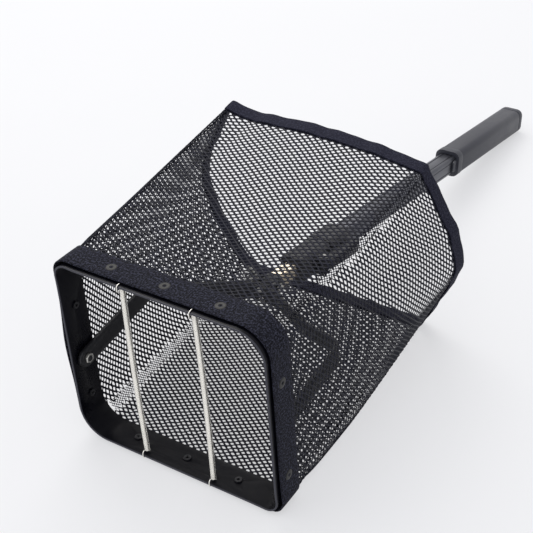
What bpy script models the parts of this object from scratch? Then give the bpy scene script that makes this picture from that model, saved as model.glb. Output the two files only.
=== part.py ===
"""Ball collector for hard plastic court balls, lying on the ground.

A spring-gated hoop opens a net bag that is open at its rear. A yoke hinged inside the hoop
carries a telescopic square handle through the bag and out of its rear opening.

Metres. X runs across the mouth, Y from the mouth towards the grip, Z up from the ground.
"""

import math

import bmesh
import bpy
from mathutils import Vector

# Hoop
HOOP_WIDTH = 0.206
HOOP_HEIGHT = 0.183
HOOP_CORNER = 0.028
BAND_DEPTH = 0.028
BAND_WALL = 0.0015
WEBBING_FRONT = 0.004
WEBBING_WIDTH = 0.0254
WEBBING_WALL = 0.0014
NET_WALL = 0.0008
FIT_GAP = 0.0003

# Rivets round the hoop
RIVET_FROM_EDGE = 0.0155
RIVET_HEAD_RADIUS = 0.0048
RIVET_HEAD_DEPTH = 0.0007
RIVET_SHANK_RADIUS = 0.0020
RIVET_BORE_RADIUS = 0.0012
RIVET_TAIL_RADIUS = 0.0034
RIVET_TAIL_DEPTH = 0.0008
RIVET_SPREAD = 0.052
SIDE_RIVET_LOW = 0.0354
SIDE_RIVET_HIGH = 0.1296

# Springs across the mouth
SPRING_FROM_EDGE = 0.0083
SPRING_RADIUS = 0.0025
SPRING_WIRE = 0.0010
SPRING_BOW = 0.0012
SPRING_END_CLEARANCE = 0.0045
HOOK_REACH_BELOW = 0.0045
SPRING_STEPS = 8

# Yoke
YOKE_AXIS_FROM_EDGE = 0.0142
YOKE_AXIS_HEIGHT = 0.0769
YOKE_RISE = math.radians(8.5)
YOKE_BAR_WIDTH = 0.018
YOKE_BAR_WALL = 0.003
YOKE_ELBOW_REACH = 0.0978
YOKE_SHOULDER = (0.057, 0.1055)
YOKE_SEAT = (0.014, 0.1267)
YOKE_BEND_RADIUS = 0.011
BOLT_RADIUS = 0.0024
BOLT_HOLE_RADIUS = 0.0027
BOLT_HEAD_RADIUS = 0.0046
WASHER_RADIUS = 0.0050
WASHER_DEPTH = 0.0008
NUT_RADIUS = 0.0046
NUT_DEPTH = 0.0027
NUT_EDGE = 0.0003

# Hub between the yoke and the handle
HUB_REACH = 0.0098
HUB_WIDTH = 0.020
HUB_CHEEK = 0.0030
HUB_BASE = 0.0027
HUB_END_RADIUS = 0.0065
HUB_RIVET_OFFSET = 0.0052
HUB_RIVET_SINK = 0.0001
HUB_RIVET_FLARE = 0.0004
HUB_RIVET_HEAD_DEPTH = 0.0013
HUB_RIVET_DOME = 0.0013
HUB_SEAT_ABOVE = 0.001
HUB_SEAT_DEPTH = 0.0014
HUB_BOLT_HEAD_RADIUS = 0.0046
HUB_BOLT_HEAD_DEPTH = 0.0032
HUB_BOLT_CROWN = (0.0028, 0.0030)
HUB_BOLT_SHOULDER = (0.0044, 0.0018)
HUB_BOLT_TAIL = 0.0100
HUB_BOLT_CHAMFER = 0.0005
EYE_RADIUS = 0.0058

# Wing nut on the hub bolt
WING_SPAN = 0.030
WING_WALL = 0.0020
BOSS_LENGTH = 0.0065
BOSS_RADIUS = 0.0056
BOSS_TOP_RADIUS = 0.0042
BOSS_RIM = 0.0008

# Telescopic handle, measured from the hub bolt
INNER_TUBE_SIZE = 0.013
INNER_TUBE_WALL = 0.0012
INNER_TUBE_CORNER = 0.0020
INNER_TUBE_START = 0.0103
INNER_TUBE_LENGTH = 0.400
PLUG_LENGTH = 0.024
PLUG_ROOT = 0.002
PLUG_CORNER = 0.001
SOCKET_PIN_RADIUS = 0.0012
PIN_CHAMFER = 0.0002
BUSH_LENGTH = 0.004
STEM_LENGTH = 0.012
STEM_ROOT = 0.002
STEM_CORNER = 0.0012
OUTER_TUBE_SIZE = 0.0185
OUTER_TUBE_WALL = 0.0016
OUTER_TUBE_CORNER = 0.0030
GROOVE_WIDTH = 0.0014
GROOVE_DEPTH = 0.0006
GROOVE_OFFSET = 0.0048
LOCK_START = 0.0361
SLEEVE_SIZE = 0.024
SLEEVE_LENGTH = 0.0469
RING_SIZE = 0.025
RING_LENGTH = 0.0016
CLAMP_SIZE = 0.026
CLAMP_LENGTH = 0.0321
LOCK_CORNER = 0.0049
LEVER_PIN_ALONG = 0.062
LEVER_PIN_OUT = 0.0175
LEVER_WIDTH = 0.010
LEVER_LENGTH = 0.055
LEVER_OUTER = 0.0250
LEVER_GAP = 0.0005
LEVER_PIN_RADIUS = 0.0015
LEVER_PIN_HEAD_RADIUS = 0.0025
LEVER_PIN_HEAD_DEPTH = 0.0007
LEVER_PIN_CROWN = 0.0005
LEVER_PIN_DOME = 0.0001
EAR_WALL = 0.0030
EAR_RADIUS = 0.0048
EAR_ROOT_HALF = 0.0070
EAR_SINK = 0.003
MOULDED_EDGE = 0.0008
RING_EDGE = 0.0004
GRIP_START = 0.3568
GRIP_LENGTH = 0.1516
GRIP_SIZE = 0.0268
GRIP_CORNER = 0.0070
COLLAR_SIZE = 0.0276
COLLAR_LENGTH = 0.0100
LIP_LENGTH = 0.0080
LIP_WIDTH = 0.0120
LIP_WALL = 0.0020
LIP_CORNER = 0.003
LIP_ROOT = 0.003
COLLAR_EDGE = 0.0010
CAP_LENGTH = 0.0084
CAP_ROUNDING = 0.0020
TUBE_SHORT_OF_GRIP_END = 0.0034

# Net bag
HEM_FRONT = 0.010
HEM_REAR = 0.0300
MOUTH_REAR_DEPTH = 0.282
REAR_LEAN = 0.16
REAR_TOP_HALF = 0.0965
REAR_TOP_HEIGHT = 0.1895
REAR_CROWN = 0.0070
REAR_BULGE = 0.0400
REAR_FOOT_HALF = 0.0960
REAR_FOOT_HEIGHT = 0.0016
PANEL_EDGE_SHARE = 0.0045
SEAM_SHARE = 0.024
SEAM_WALL = 0.0010
SEAM_STEPS = 4
BINDING_WIDTH = 0.013
BINDING_WALL = 0.0010
NET_HOLES_ACROSS = 5
NET_HOLES_ALONG = 7
NET_BAR = 0.0060

# Smoothness
CORNER_STEPS = 8
ROUND_STEPS = 12
RIVET_STEPS = 10
TUBE_STEPS = 4
LEAST_CORNER = 0.0005

# Sizes that follow from the ones above
BAND_INSET = WEBBING_WALL + 2 * FIT_GAP + NET_WALL
BAND_INNER_INSET = BAND_INSET + BAND_WALL
NET_INSET = WEBBING_WALL + FIT_GAP
SPRING_SPACING = HOOP_WIDTH / 6
ARM_OUTER = HOOP_WIDTH / 2 - BAND_INNER_INSET - 2 * FIT_GAP - WASHER_DEPTH
ARM_CENTRE = ARM_OUTER - YOKE_BAR_WALL / 2
SEAT_REAR = YOKE_SEAT[1] + YOKE_BAR_WALL / 2
HUB_PIVOT = SEAT_REAR + FIT_GAP + HUB_REACH
CAP_START = GRIP_START + GRIP_LENGTH + FIT_GAP
HANDLE_LENGTH = CAP_START + CAP_LENGTH
PIVOT_Y = YOKE_AXIS_FROM_EDGE + HUB_PIVOT * math.cos(YOKE_RISE)
PIVOT_Z = YOKE_AXIS_HEIGHT + HUB_PIVOT * math.sin(YOKE_RISE)
REST_LENGTH = HANDLE_LENGTH - CAP_ROUNDING
REST_RADIUS = math.hypot(REST_LENGTH, GRIP_SIZE / 2)
HANDLE_PITCH = math.asin(PIVOT_Z / REST_RADIUS) - math.atan2(GRIP_SIZE / 2, REST_LENGTH)
FRONT_Y = -FIT_GAP - SPRING_WIRE
REAR_Y = (
    PIVOT_Y
    + HANDLE_LENGTH * math.cos(HANDLE_PITCH)
    + (GRIP_SIZE / 2 - CAP_ROUNDING) * math.sin(HANDLE_PITCH)
)
MIDDLE_Y = (FRONT_Y + REAR_Y) / 2
BINDING_STATION = 2 - 1.25 * (BINDING_WIDTH + 2 * FIT_GAP) / (MOUTH_REAR_DEPTH - HEM_REAR)

# Colours, roughness and metallic values
BLACK_GLOSS = ((0.010, 0.010, 0.012), 0.25, 0.0)
BLACK_CLOTH = ((0.030, 0.030, 0.033), 0.90, 0.0)
BLACK_NET = ((0.018, 0.018, 0.021), 0.80, 0.0)
BLACK_STEEL = ((0.015, 0.015, 0.017), 0.35, 0.6)
BLACK_PLASTIC = ((0.020, 0.020, 0.022), 0.45, 0.0)
GREY_GRIP = ((0.055, 0.058, 0.068), 0.55, 0.0)
BRIGHT_STEEL = ((0.620, 0.610, 0.590), 0.28, 1.0)
BRUSHED_ALUMINIUM = ((0.700, 0.680, 0.640), 0.35, 1.0)


def clear_scene():
    for obj in list(bpy.data.objects):
        bpy.data.objects.remove(obj)


def new_collection(name):
    collection = bpy.data.collections.new(name)
    bpy.context.scene.collection.children.link(collection)
    return collection


def empty(name, parent, location, pitch=0.0):
    """A joint's place: its pieces hang from it, and pitch raises their far ends."""
    obj = bpy.data.objects.new(name, None)
    obj.empty_display_size = 0.02
    PARTS.objects.link(obj)
    obj.parent = parent
    obj.location = location
    obj.rotation_euler = (pitch, 0, 0)
    return obj


def place(obj, parent, location=(0, 0, 0), rotation=(0, 0, 0)):
    obj.parent = parent
    obj.location = location
    obj.rotation_euler = rotation
    return obj


def paint(obj, look):
    colour, roughness, metallic = look
    material = bpy.data.materials.new(obj.name)
    material.use_nodes = True
    shader = material.node_tree.nodes["Principled BSDF"]
    shader.inputs["Base Color"].default_value = (*colour, 1)
    shader.inputs["Roughness"].default_value = roughness
    shader.inputs["Metallic"].default_value = metallic
    obj.data.materials.clear()
    obj.data.materials.append(material)
    obj.data.shade_smooth()
    obj.data.set_sharp_from_angle(angle=math.radians(35))
    return obj


def mesh_object(name, mesh, collection=None):
    obj = bpy.data.objects.new(name, mesh)
    (collection or PARTS).objects.link(obj)
    return obj


def bmesh_object(name, shape, collection=None):
    mesh = bpy.data.meshes.new(name)
    shape.to_mesh(mesh)
    shape.free()
    return mesh_object(name, mesh, collection)


def meshed(name, curve, collection=None):
    """The curve as a welded mesh object."""
    source = mesh_object(name + "_curve", curve, collection)
    bpy.context.view_layer.update()
    mesh = bpy.data.meshes.new_from_object(source.evaluated_get(bpy.context.evaluated_depsgraph_get()))
    bpy.data.objects.remove(source)
    shape = bmesh.new()
    shape.from_mesh(mesh)
    bmesh.ops.remove_doubles(shape, verts=shape.verts, dist=1e-6)
    bmesh.ops.recalc_face_normals(shape, faces=shape.faces)
    bmesh.ops.dissolve_limit(
        shape, angle_limit=math.radians(0.1), verts=shape.verts, edges=shape.edges
    )
    shape.to_mesh(mesh)
    shape.free()
    return mesh_object(name, mesh, collection)


def plate(name, outlines, thickness, collection=None):
    """A flat piece of the closed outlines in local XY, its thickness split about Z = 0."""
    curve = bpy.data.curves.new(name, "CURVE")
    curve.dimensions = "2D"
    curve.fill_mode = "BOTH"
    curve.extrude = thickness / 2
    for outline in outlines:
        spline = curve.splines.new("POLY")
        spline.points.add(len(outline) - 1)
        for point, (x, y) in zip(spline.points, outline):
            point.co = (x, y, 0, 1)
        spline.use_cyclic_u = True
    return meshed(name, curve, collection)


def turned(name, profile, steps=ROUND_STEPS, collection=None):
    """A solid of revolution about Z. The profile runs down its outer side, from (radius, height) pairs."""
    shape = bmesh.new()
    points = [shape.verts.new((radius, 0, height)) for radius, height in profile]
    for first, second in zip(points, points[1:]):
        shape.edges.new((first, second))
    obj = bmesh_object(name, shape, collection)
    screw = obj.modifiers.new("Turn", "SCREW")
    screw.steps = steps
    screw.render_steps = steps
    screw.use_merge_vertices = True
    screw.merge_threshold = 1e-6
    return obj


def rod_cutter(name, radius, length, location, rotation=(0, 0, 0), parent=None):
    shape = bmesh.new()
    bmesh.ops.create_cone(
        shape, cap_ends=True, segments=ROUND_STEPS, radius1=radius, radius2=radius, depth=length
    )
    obj = bmesh_object(name, shape, CUTTERS)
    return place(hide(obj), parent, location, rotation)


def hide(obj):
    obj.hide_render = True
    obj.display_type = "WIRE"
    return obj


def boolean(obj, other, operation="DIFFERENCE"):
    modifier = obj.modifiers.new(other.name, "BOOLEAN")
    modifier.operation = operation
    modifier.solver = "EXACT"
    modifier.object = other
    return obj


def bevel(obj, width, segments=2, angle=50):
    modifier = obj.modifiers.new("Edges", "BEVEL")
    modifier.width = width
    modifier.segments = segments
    modifier.limit_method = "ANGLE"
    modifier.angle_limit = math.radians(angle)
    return obj


def arc(centre, radius, start, end, steps):
    """Points along an arc, its angles in degrees."""
    angles = [math.radians(start + (end - start) * step / steps) for step in range(steps + 1)]
    return [(centre[0] + radius * math.cos(a), centre[1] + radius * math.sin(a)) for a in angles]


def circle(radius, steps=ROUND_STEPS):
    return arc((0, 0), radius, 0, 360, steps)[:-1]


def rounded(width, height, radius, steps=CORNER_STEPS):
    """The outline of a rectangle about the origin whose corners are arcs."""
    outline = []
    for number, (side_x, side_y) in enumerate(((1, 1), (-1, 1), (-1, -1), (1, -1))):
        centre = (side_x * (width / 2 - radius), side_y * (height / 2 - radius))
        outline += arc(centre, radius, 90 * number, 90 * number + 90, steps)
    return outline


def hoop_outline(inset):
    return rounded(HOOP_WIDTH - 2 * inset, HOOP_HEIGHT - 2 * inset, HOOP_CORNER - inset)


def filleted(corners, radius, steps=TUBE_STEPS):
    """An open line through the corners, each inner one rounded to the radius."""
    line = [Vector(corners[0])]
    for before, corner, after in zip(corners, corners[1:], corners[2:]):
        corner = Vector(corner)
        back = (Vector(before) - corner).normalized()
        ahead = (Vector(after) - corner).normalized()
        half = back.angle(ahead) / 2
        centre = corner + (back + ahead).normalized() * radius / math.sin(half)
        start = corner + back * radius / math.tan(half) - centre
        end = corner + ahead * radius / math.tan(half) - centre
        turn = start.angle_signed(end)
        for step in range(steps + 1):
            share = -turn * step / steps
            line.append(
                centre
                + Vector(
                    (
                        start.x * math.cos(share) - start.y * math.sin(share),
                        start.x * math.sin(share) + start.y * math.cos(share),
                    )
                )
            )
    line.append(Vector(corners[-1]))
    return line


def strip(line, width):
    """The closed outline of a bar of this width along an open line."""
    normals = []
    for number in range(len(line)):
        along = line[min(number + 1, len(line) - 1)] - line[max(number - 1, 0)]
        normals.append(Vector((-along.y, along.x)).normalized() * width / 2)
    left = [tuple(point + normal) for point, normal in zip(line, normals)]
    right = [tuple(point - normal) for point, normal in zip(line, normals)]
    return left + right[::-1]


def square_tube(name, size, wall, corner, start, length, parent, outline=None):
    """A rounded square tube that lies along the handle."""
    inner = rounded(size - 2 * wall, size - 2 * wall, max(corner - wall, LEAST_CORNER), TUBE_STEPS)
    outer = outline or rounded(size, size, corner, TUBE_STEPS)
    return place_along(plate(name, [outer, inner], length), parent, start, length)


def place_along(obj, parent, start, length):
    """Stands a plate so that its thickness runs from start along the handle."""
    return place(obj, parent, (0, start + length / 2, 0), (math.radians(90), 0, 0))


# Hoop: sprung band, webbing, rivets


def hoop_spots():
    """Each rivet's name, its place on the hoop's outer face and the turn that points it outwards."""
    spots = []
    for label, across in (("left", -RIVET_SPREAD), ("middle", 0), ("right", RIVET_SPREAD)):
        spots.append((f"rivet_top_{label}", (across, RIVET_FROM_EDGE, HOOP_HEIGHT), (0, 0, 0)))
        spots.append((f"rivet_bottom_{label}", (across, RIVET_FROM_EDGE, 0), (math.pi, 0, 0)))
    for label, side in (("left", -1), ("right", 1)):
        for level, height in (("low", SIDE_RIVET_LOW), ("high", SIDE_RIVET_HIGH)):
            spots.append(
                (
                    f"rivet_{label}_{level}",
                    (side * HOOP_WIDTH / 2, RIVET_FROM_EDGE, height),
                    (0, side * math.pi / 2, 0),
                )
            )
    return spots


def bolt_spots():
    return [
        (
            label,
            (side * HOOP_WIDTH / 2, YOKE_AXIS_FROM_EDGE, YOKE_AXIS_HEIGHT),
            (0, side * math.pi / 2, 0),
        )
        for label, side in (("left", -1), ("right", 1))
    ]


def hook_spots():
    """Where each spring's wire passes the hoop: its side across, and up or down."""
    return [(side, level) for side in (-1, 1) for level in (-1, 1)]


def joined(name, pieces):
    """One cutter from several, each baked where it stands."""
    shape = bmesh.new()
    bpy.context.view_layer.update()
    for piece in pieces:
        mesh = piece.data.copy()
        mesh.transform(piece.matrix_world)
        shape.from_mesh(mesh)
        bpy.data.meshes.remove(mesh)
        bpy.data.objects.remove(piece)
    return hide(bmesh_object(name, shape, CUTTERS))


def box_cutter(name, size, location):
    shape = bmesh.new()
    bmesh.ops.create_cube(shape, size=1)
    bmesh.ops.scale(shape, vec=size, verts=shape.verts)
    return place(hide(bmesh_object(name, shape, CUTTERS)), None, location)


def hoop_cutters():
    """The holes through the hoop's layers, and the seats and slots in the webbing alone."""
    drills = []
    seats = []
    depth = 4 * BAND_INNER_INSET
    seat_depth = 2 * (RIVET_HEAD_DEPTH + FIT_GAP)
    for name, spot, turn in hoop_spots():
        drills.append(rod_cutter(name, RIVET_SHANK_RADIUS + FIT_GAP, depth, spot, turn))
        seats.append(rod_cutter(name, RIVET_HEAD_RADIUS + 2 * FIT_GAP, seat_depth, spot, turn))
    for label, spot, turn in bolt_spots():
        drills.append(rod_cutter(label, BOLT_HOLE_RADIUS, depth, spot, turn))
        seats.append(rod_cutter(label, BOLT_HEAD_RADIUS + 2 * FIT_GAP, seat_depth, spot, turn))
    for side, level in hook_spots():
        height = HOOP_HEIGHT / 2 + level * HOOP_HEIGHT / 2
        place_x = side * SPRING_SPACING
        drills.append(
            rod_cutter("hook", SPRING_WIRE / 2 + FIT_GAP, depth, (place_x, SPRING_FROM_EDGE, height))
        )
        slot_end = SPRING_FROM_EDGE + SPRING_WIRE / 2 + FIT_GAP
        seats.append(
            box_cutter(
                "hook_slot",
                (SPRING_WIRE + 2 * FIT_GAP, 2 * (slot_end - WEBBING_FRONT), depth),
                (place_x, WEBBING_FRONT, height),
            )
        )
    return joined("hoop_drill", drills), joined("webbing_seats", seats)


def make_hoop(drill, seats):
    band = plate(
        "hoop_band", [hoop_outline(BAND_INSET), hoop_outline(BAND_INNER_INSET)], BAND_DEPTH
    )
    place(band, FRAME, (0, BAND_DEPTH / 2, HOOP_HEIGHT / 2), (math.pi / 2, 0, 0))
    paint(boolean(band, drill), BLACK_GLOSS)

    webbing = plate("hoop_webbing", [hoop_outline(0), hoop_outline(WEBBING_WALL)], WEBBING_WIDTH)
    middle = WEBBING_FRONT + WEBBING_WIDTH / 2
    place(webbing, FRAME, (0, middle, HOOP_HEIGHT / 2), (math.pi / 2, 0, 0))
    paint(boolean(boolean(webbing, seats), drill), BLACK_CLOTH)


def make_rivets():
    """Tubular rivets: a dimpled head flush with the webbing and a flared tail inside the band."""
    tail = -BAND_INNER_INSET - FIT_GAP
    top = -FIT_GAP / 3
    dimple = top - RIVET_HEAD_DEPTH / 2
    profile = [
        (0, dimple),
        (RIVET_BORE_RADIUS, dimple),
        (RIVET_BORE_RADIUS, top),
        (RIVET_HEAD_RADIUS, top),
        (RIVET_HEAD_RADIUS, top - RIVET_HEAD_DEPTH),
        (RIVET_SHANK_RADIUS, top - RIVET_HEAD_DEPTH),
        (RIVET_SHANK_RADIUS, tail),
        (RIVET_TAIL_RADIUS, tail),
        (RIVET_TAIL_RADIUS, tail - RIVET_TAIL_DEPTH),
        (RIVET_BORE_RADIUS, tail - RIVET_TAIL_DEPTH),
        (RIVET_BORE_RADIUS, tail + RIVET_TAIL_DEPTH),
        (0, tail + RIVET_TAIL_DEPTH),
    ]
    for name, spot, turn in hoop_spots():
        place(paint(turned(name, profile, RIVET_STEPS), BLACK_STEEL), FRAME, spot, turn)


# Springs across the mouth


def spring_route(side):
    """(point, radius) along a spring: hook over the lower edge, coil body, hook over the upper edge."""
    x = side * SPRING_SPACING
    middle = HOOP_HEIGHT / 2
    wire = SPRING_WIRE / 2
    front = -FIT_GAP - wire
    outside = middle - BAND_INSET + FIT_GAP + wire
    under = middle - BAND_INNER_INSET - SPRING_END_CLEARANCE
    hook_end = middle - BAND_INNER_INSET - HOOK_REACH_BELOW
    hook = [
        (SPRING_FROM_EDGE / 2, hook_end),
        (front + wire, hook_end + wire),
        (front, hook_end + 3 * wire),
        (front, outside - wire),
        (front + wire / 2, outside - wire / 3),
        (front + 3 * wire, outside),
        (SPRING_FROM_EDGE - 2 * wire, outside),
        (SPRING_FROM_EDGE - wire / 2, outside - wire / 3),
        (SPRING_FROM_EDGE, outside - 2 * wire),
        (SPRING_FROM_EDGE, under + SPRING_WIRE),
    ]
    body_ends = [
        (Vector((x, SPRING_FROM_EDGE, middle - under)), SPRING_RADIUS),
        (Vector((x, SPRING_FROM_EDGE, middle + under)), SPRING_RADIUS),
    ]
    route = [(Vector((x, y, middle - z)), wire) for y, z in hook]
    for step in range(SPRING_STEPS + 1):
        share = step / SPRING_STEPS
        bow = side * SPRING_BOW * math.sin(math.pi * share)
        point = body_ends[0][0].lerp(body_ends[1][0], share) + Vector((bow, 0, 0))
        route.append((point, SPRING_RADIUS))
    route += [(Vector((x, y, middle + z)), wire) for y, z in reversed(hook)]
    return route


def make_springs():
    for label, side in (("left", -1), ("right", 1)):
        curve = bpy.data.curves.new(label, "CURVE")
        curve.dimensions = "3D"
        curve.bevel_depth = SPRING_RADIUS
        curve.bevel_resolution = 2
        curve.use_fill_caps = True
        spline = curve.splines.new("POLY")
        route = spring_route(side)
        spline.points.add(len(route) - 1)
        for point, (place_at, radius) in zip(spline.points, route):
            point.co = (*place_at, 1)
            point.radius = radius / SPRING_RADIUS
        place(paint(meshed(f"spring_{label}", curve), BRIGHT_STEEL), FRAME)


# Yoke, hinged inside the hoop


def make_yoke():
    half = YOKE_BAR_WIDTH / 2
    right = [
        (ARM_CENTRE, -half),
        (ARM_CENTRE, YOKE_ELBOW_REACH),
        YOKE_SHOULDER,
        YOKE_SEAT,
    ]
    left = [(-x, y) for x, y in reversed(right)]
    line = filleted(right + left, YOKE_BEND_RADIUS)
    yoke = place(plate("yoke", [strip(line, YOKE_BAR_WALL)], YOKE_BAR_WIDTH), YOKE_FRAME)
    ends = arc((0, 0), half, 90, 270, CORNER_STEPS) + [(2 * HUB_PIVOT, -half), (2 * HUB_PIVOT, half)]
    end_shape = plate("yoke_ends", [ends], 2 * HOOP_WIDTH, CUTTERS)
    place(hide(end_shape), YOKE_FRAME, (0, 0, 0), (math.pi / 2, 0, math.pi / 2))
    boolean(yoke, end_shape, "INTERSECT")
    boolean(
        yoke,
        rod_cutter(
            "yoke_bolt_holes",
            BOLT_HOLE_RADIUS,
            2 * HOOP_WIDTH,
            (0, 0, 0),
            (0, math.pi / 2, 0),
            YOKE_FRAME,
        ),
    )
    for number, side in enumerate((1, -1)):
        boolean(yoke, hub_rivet_cutter(f"yoke_rivet_hole_{number}", side))
    return paint(yoke, BLACK_STEEL)


def hub_rivet_cutter(name, side):
    return rod_cutter(
        name,
        RIVET_SHANK_RADIUS,
        HUB_WIDTH,
        (0, SEAT_REAR, side * HUB_RIVET_OFFSET),
        (math.pi / 2, 0, 0),
        YOKE_FRAME,
    )


def make_yoke_bolts():
    """On each side a bolt through hoop and arm, a spacing washer between them and a thin nut inside."""
    washer_face = HOOP_WIDTH / 2 - BAND_INNER_INSET - FIT_GAP
    nut_face = ARM_OUTER - YOKE_BAR_WALL - FIT_GAP
    bolt_end = nut_face - NUT_DEPTH - 2 * FIT_GAP - HOOP_WIDTH / 2
    top = -FIT_GAP / 3
    profile = [
        (0, top),
        (BOLT_HEAD_RADIUS - FIT_GAP, top),
        (BOLT_HEAD_RADIUS, top - FIT_GAP),
        (BOLT_HEAD_RADIUS, top - RIVET_HEAD_DEPTH),
        (BOLT_RADIUS, top - RIVET_HEAD_DEPTH),
        (BOLT_RADIUS, bolt_end + FIT_GAP),
        (BOLT_RADIUS - FIT_GAP, bolt_end),
        (0, bolt_end),
    ]
    for label, spot, turn in bolt_spots():
        side = 1 if label == "right" else -1
        place(paint(turned(f"yoke_bolt_{label}", profile), BLACK_STEEL), FRAME, spot, turn)
        washer = plate(
            f"yoke_washer_{label}", [circle(WASHER_RADIUS), circle(BOLT_HOLE_RADIUS)], WASHER_DEPTH
        )
        washer_x = side * (washer_face - WASHER_DEPTH / 2)
        place(paint(washer, BLACK_PLASTIC), FRAME, (washer_x, spot[1], spot[2]), turn)
        nut = plate(
            f"yoke_nut_{label}", [circle(NUT_RADIUS, 6), circle(BOLT_HOLE_RADIUS)], NUT_DEPTH
        )
        nut_x = side * (nut_face - NUT_DEPTH / 2)
        place(paint(bevel(nut, NUT_EDGE, 1), BRIGHT_STEEL), FRAME, (nut_x, spot[1], spot[2]), turn)


# Hub: clevis bracket, hinge bolt and wing nut


def make_hub():
    base = -HUB_REACH
    inner = HUB_WIDTH / 2 - HUB_CHEEK
    outer = HUB_WIDTH / 2
    reach = HUB_END_RADIUS * 1.1
    fork = [
        (-outer, base),
        (outer, base),
        (outer, reach),
        (inner, reach),
        (inner, base + HUB_BASE),
        (-inner, base + HUB_BASE),
        (-inner, reach),
        (-outer, reach),
    ]
    bracket = place(plate("hub_bracket", [fork], YOKE_BAR_WIDTH), HUB_FRAME)
    half = YOKE_BAR_WIDTH / 2
    side_view = [(base * 1.1, -half), (base + HUB_BASE, -half)]
    side_view += arc((0, 0), HUB_END_RADIUS, -75, 75, CORNER_STEPS)
    side_view += [(base + HUB_BASE, half), (base * 1.1, half)]
    side_shape = plate("hub_side_view", [side_view], 2 * HUB_WIDTH, CUTTERS)
    place(hide(side_shape), HUB_FRAME, (0, 0, 0), (math.pi / 2, 0, math.pi / 2))
    boolean(bracket, side_shape, "INTERSECT")
    boolean(
        bracket,
        rod_cutter(
            "hub_bolt_hole", BOLT_HOLE_RADIUS, 2 * HUB_WIDTH, (0, 0, 0), (0, math.pi / 2, 0), HUB_FRAME
        ),
    )
    for number, side in enumerate((1, -1)):
        boolean(bracket, hub_rivet_cutter(f"hub_rivet_hole_{number}", side))
        seat = turned(
            f"hub_rivet_seat_{number}",
            [
                (0, HUB_SEAT_ABOVE),
                (RIVET_TAIL_RADIUS, HUB_SEAT_ABOVE),
                (RIVET_SHANK_RADIUS, -HUB_SEAT_DEPTH),
                (0, -HUB_SEAT_DEPTH),
            ],
            collection=CUTTERS,
        )
        place(hide(seat), HUB_FRAME, (0, base + HUB_BASE, side * HUB_RIVET_OFFSET), (-math.pi / 2, 0, 0))
        boolean(bracket, seat)
    paint(bracket, BLACK_PLASTIC)

    tail = -HUB_BASE - YOKE_BAR_WALL - 2 * FIT_GAP
    shank = RIVET_SHANK_RADIUS - FIT_GAP
    rivet_profile = [
        (0, -HUB_RIVET_SINK),
        (RIVET_SHANK_RADIUS + HUB_RIVET_FLARE, -HUB_RIVET_SINK),
        (shank, -HUB_RIVET_HEAD_DEPTH),
        (shank, tail),
        (RIVET_TAIL_RADIUS, tail),
        (RIVET_TAIL_RADIUS * 0.8, tail - RIVET_TAIL_DEPTH),
        (RIVET_TAIL_RADIUS * 0.4, tail - HUB_RIVET_DOME + HUB_RIVET_SINK),
        (0, tail - HUB_RIVET_DOME),
    ]
    for label, side in (("upper", 1), ("lower", -1)):
        rivet = paint(turned(f"hub_rivet_{label}", rivet_profile), BLACK_STEEL)
        spot = (0, base + HUB_BASE, side * HUB_RIVET_OFFSET)
        place(rivet, HUB_FRAME, spot, (-math.pi / 2, 0, 0))

    cheek_face = outer + FIT_GAP
    bolt_profile = [
        (0, cheek_face + HUB_BOLT_HEAD_DEPTH),
        (HUB_BOLT_CROWN[0], cheek_face + HUB_BOLT_CROWN[1]),
        (HUB_BOLT_SHOULDER[0], cheek_face + HUB_BOLT_SHOULDER[1]),
        (HUB_BOLT_HEAD_RADIUS, cheek_face),
        (BOLT_RADIUS, cheek_face),
        (BOLT_RADIUS, -cheek_face - HUB_BOLT_TAIL + HUB_BOLT_CHAMFER),
        (BOLT_RADIUS - FIT_GAP, -cheek_face - HUB_BOLT_TAIL),
        (0, -cheek_face - HUB_BOLT_TAIL),
    ]
    bolt = paint(turned("hub_bolt", bolt_profile), BRIGHT_STEEL)
    place(bolt, HUB_FRAME, (0, 0, 0), (0, math.pi / 2, 0))
    make_wing_nut(-cheek_face)


def make_wing_nut(face):
    """A tapered boss with two swept wings, threaded on the bolt's end."""
    boss = turned(
        "hub_wing_nut",
        [
            (BOLT_HOLE_RADIUS, BOSS_LENGTH),
            (BOSS_TOP_RADIUS, BOSS_LENGTH),
            (BOSS_RADIUS, BOSS_RIM),
            (BOSS_RADIUS, 0),
            (BOLT_HOLE_RADIUS, 0),
            (BOLT_HOLE_RADIUS, BOSS_LENGTH),
        ],
    )
    place(boss, HUB_FRAME, (face, 0, 0), (0, -math.pi / 2, 0))
    half = WING_SPAN / 2
    for number, side in enumerate((1, -1)):
        wing_outline = [
            (side * 0.0040, 0.0008),
            (side * 0.0075, 0.0010),
            (side * (half - 0.002), 0.0055),
            (side * half, 0.0085),
            (side * (half - 0.001), 0.0108),
            (side * (half - 0.004), 0.0112),
            (side * 0.0070, 0.0068),
            (side * 0.0038, 0.0060),
        ]
        wing = plate(f"wing_{number}", [wing_outline], WING_WALL, CUTTERS)
        place(hide(wing), HUB_FRAME, (face, 0, 0), (math.pi / 2, -math.pi / 2, 0))
        boolean(boss, wing, "UNION")
    paint(boss, BLACK_PLASTIC)


# Handle: inner tube with its eye, and the sliding outer half


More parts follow.
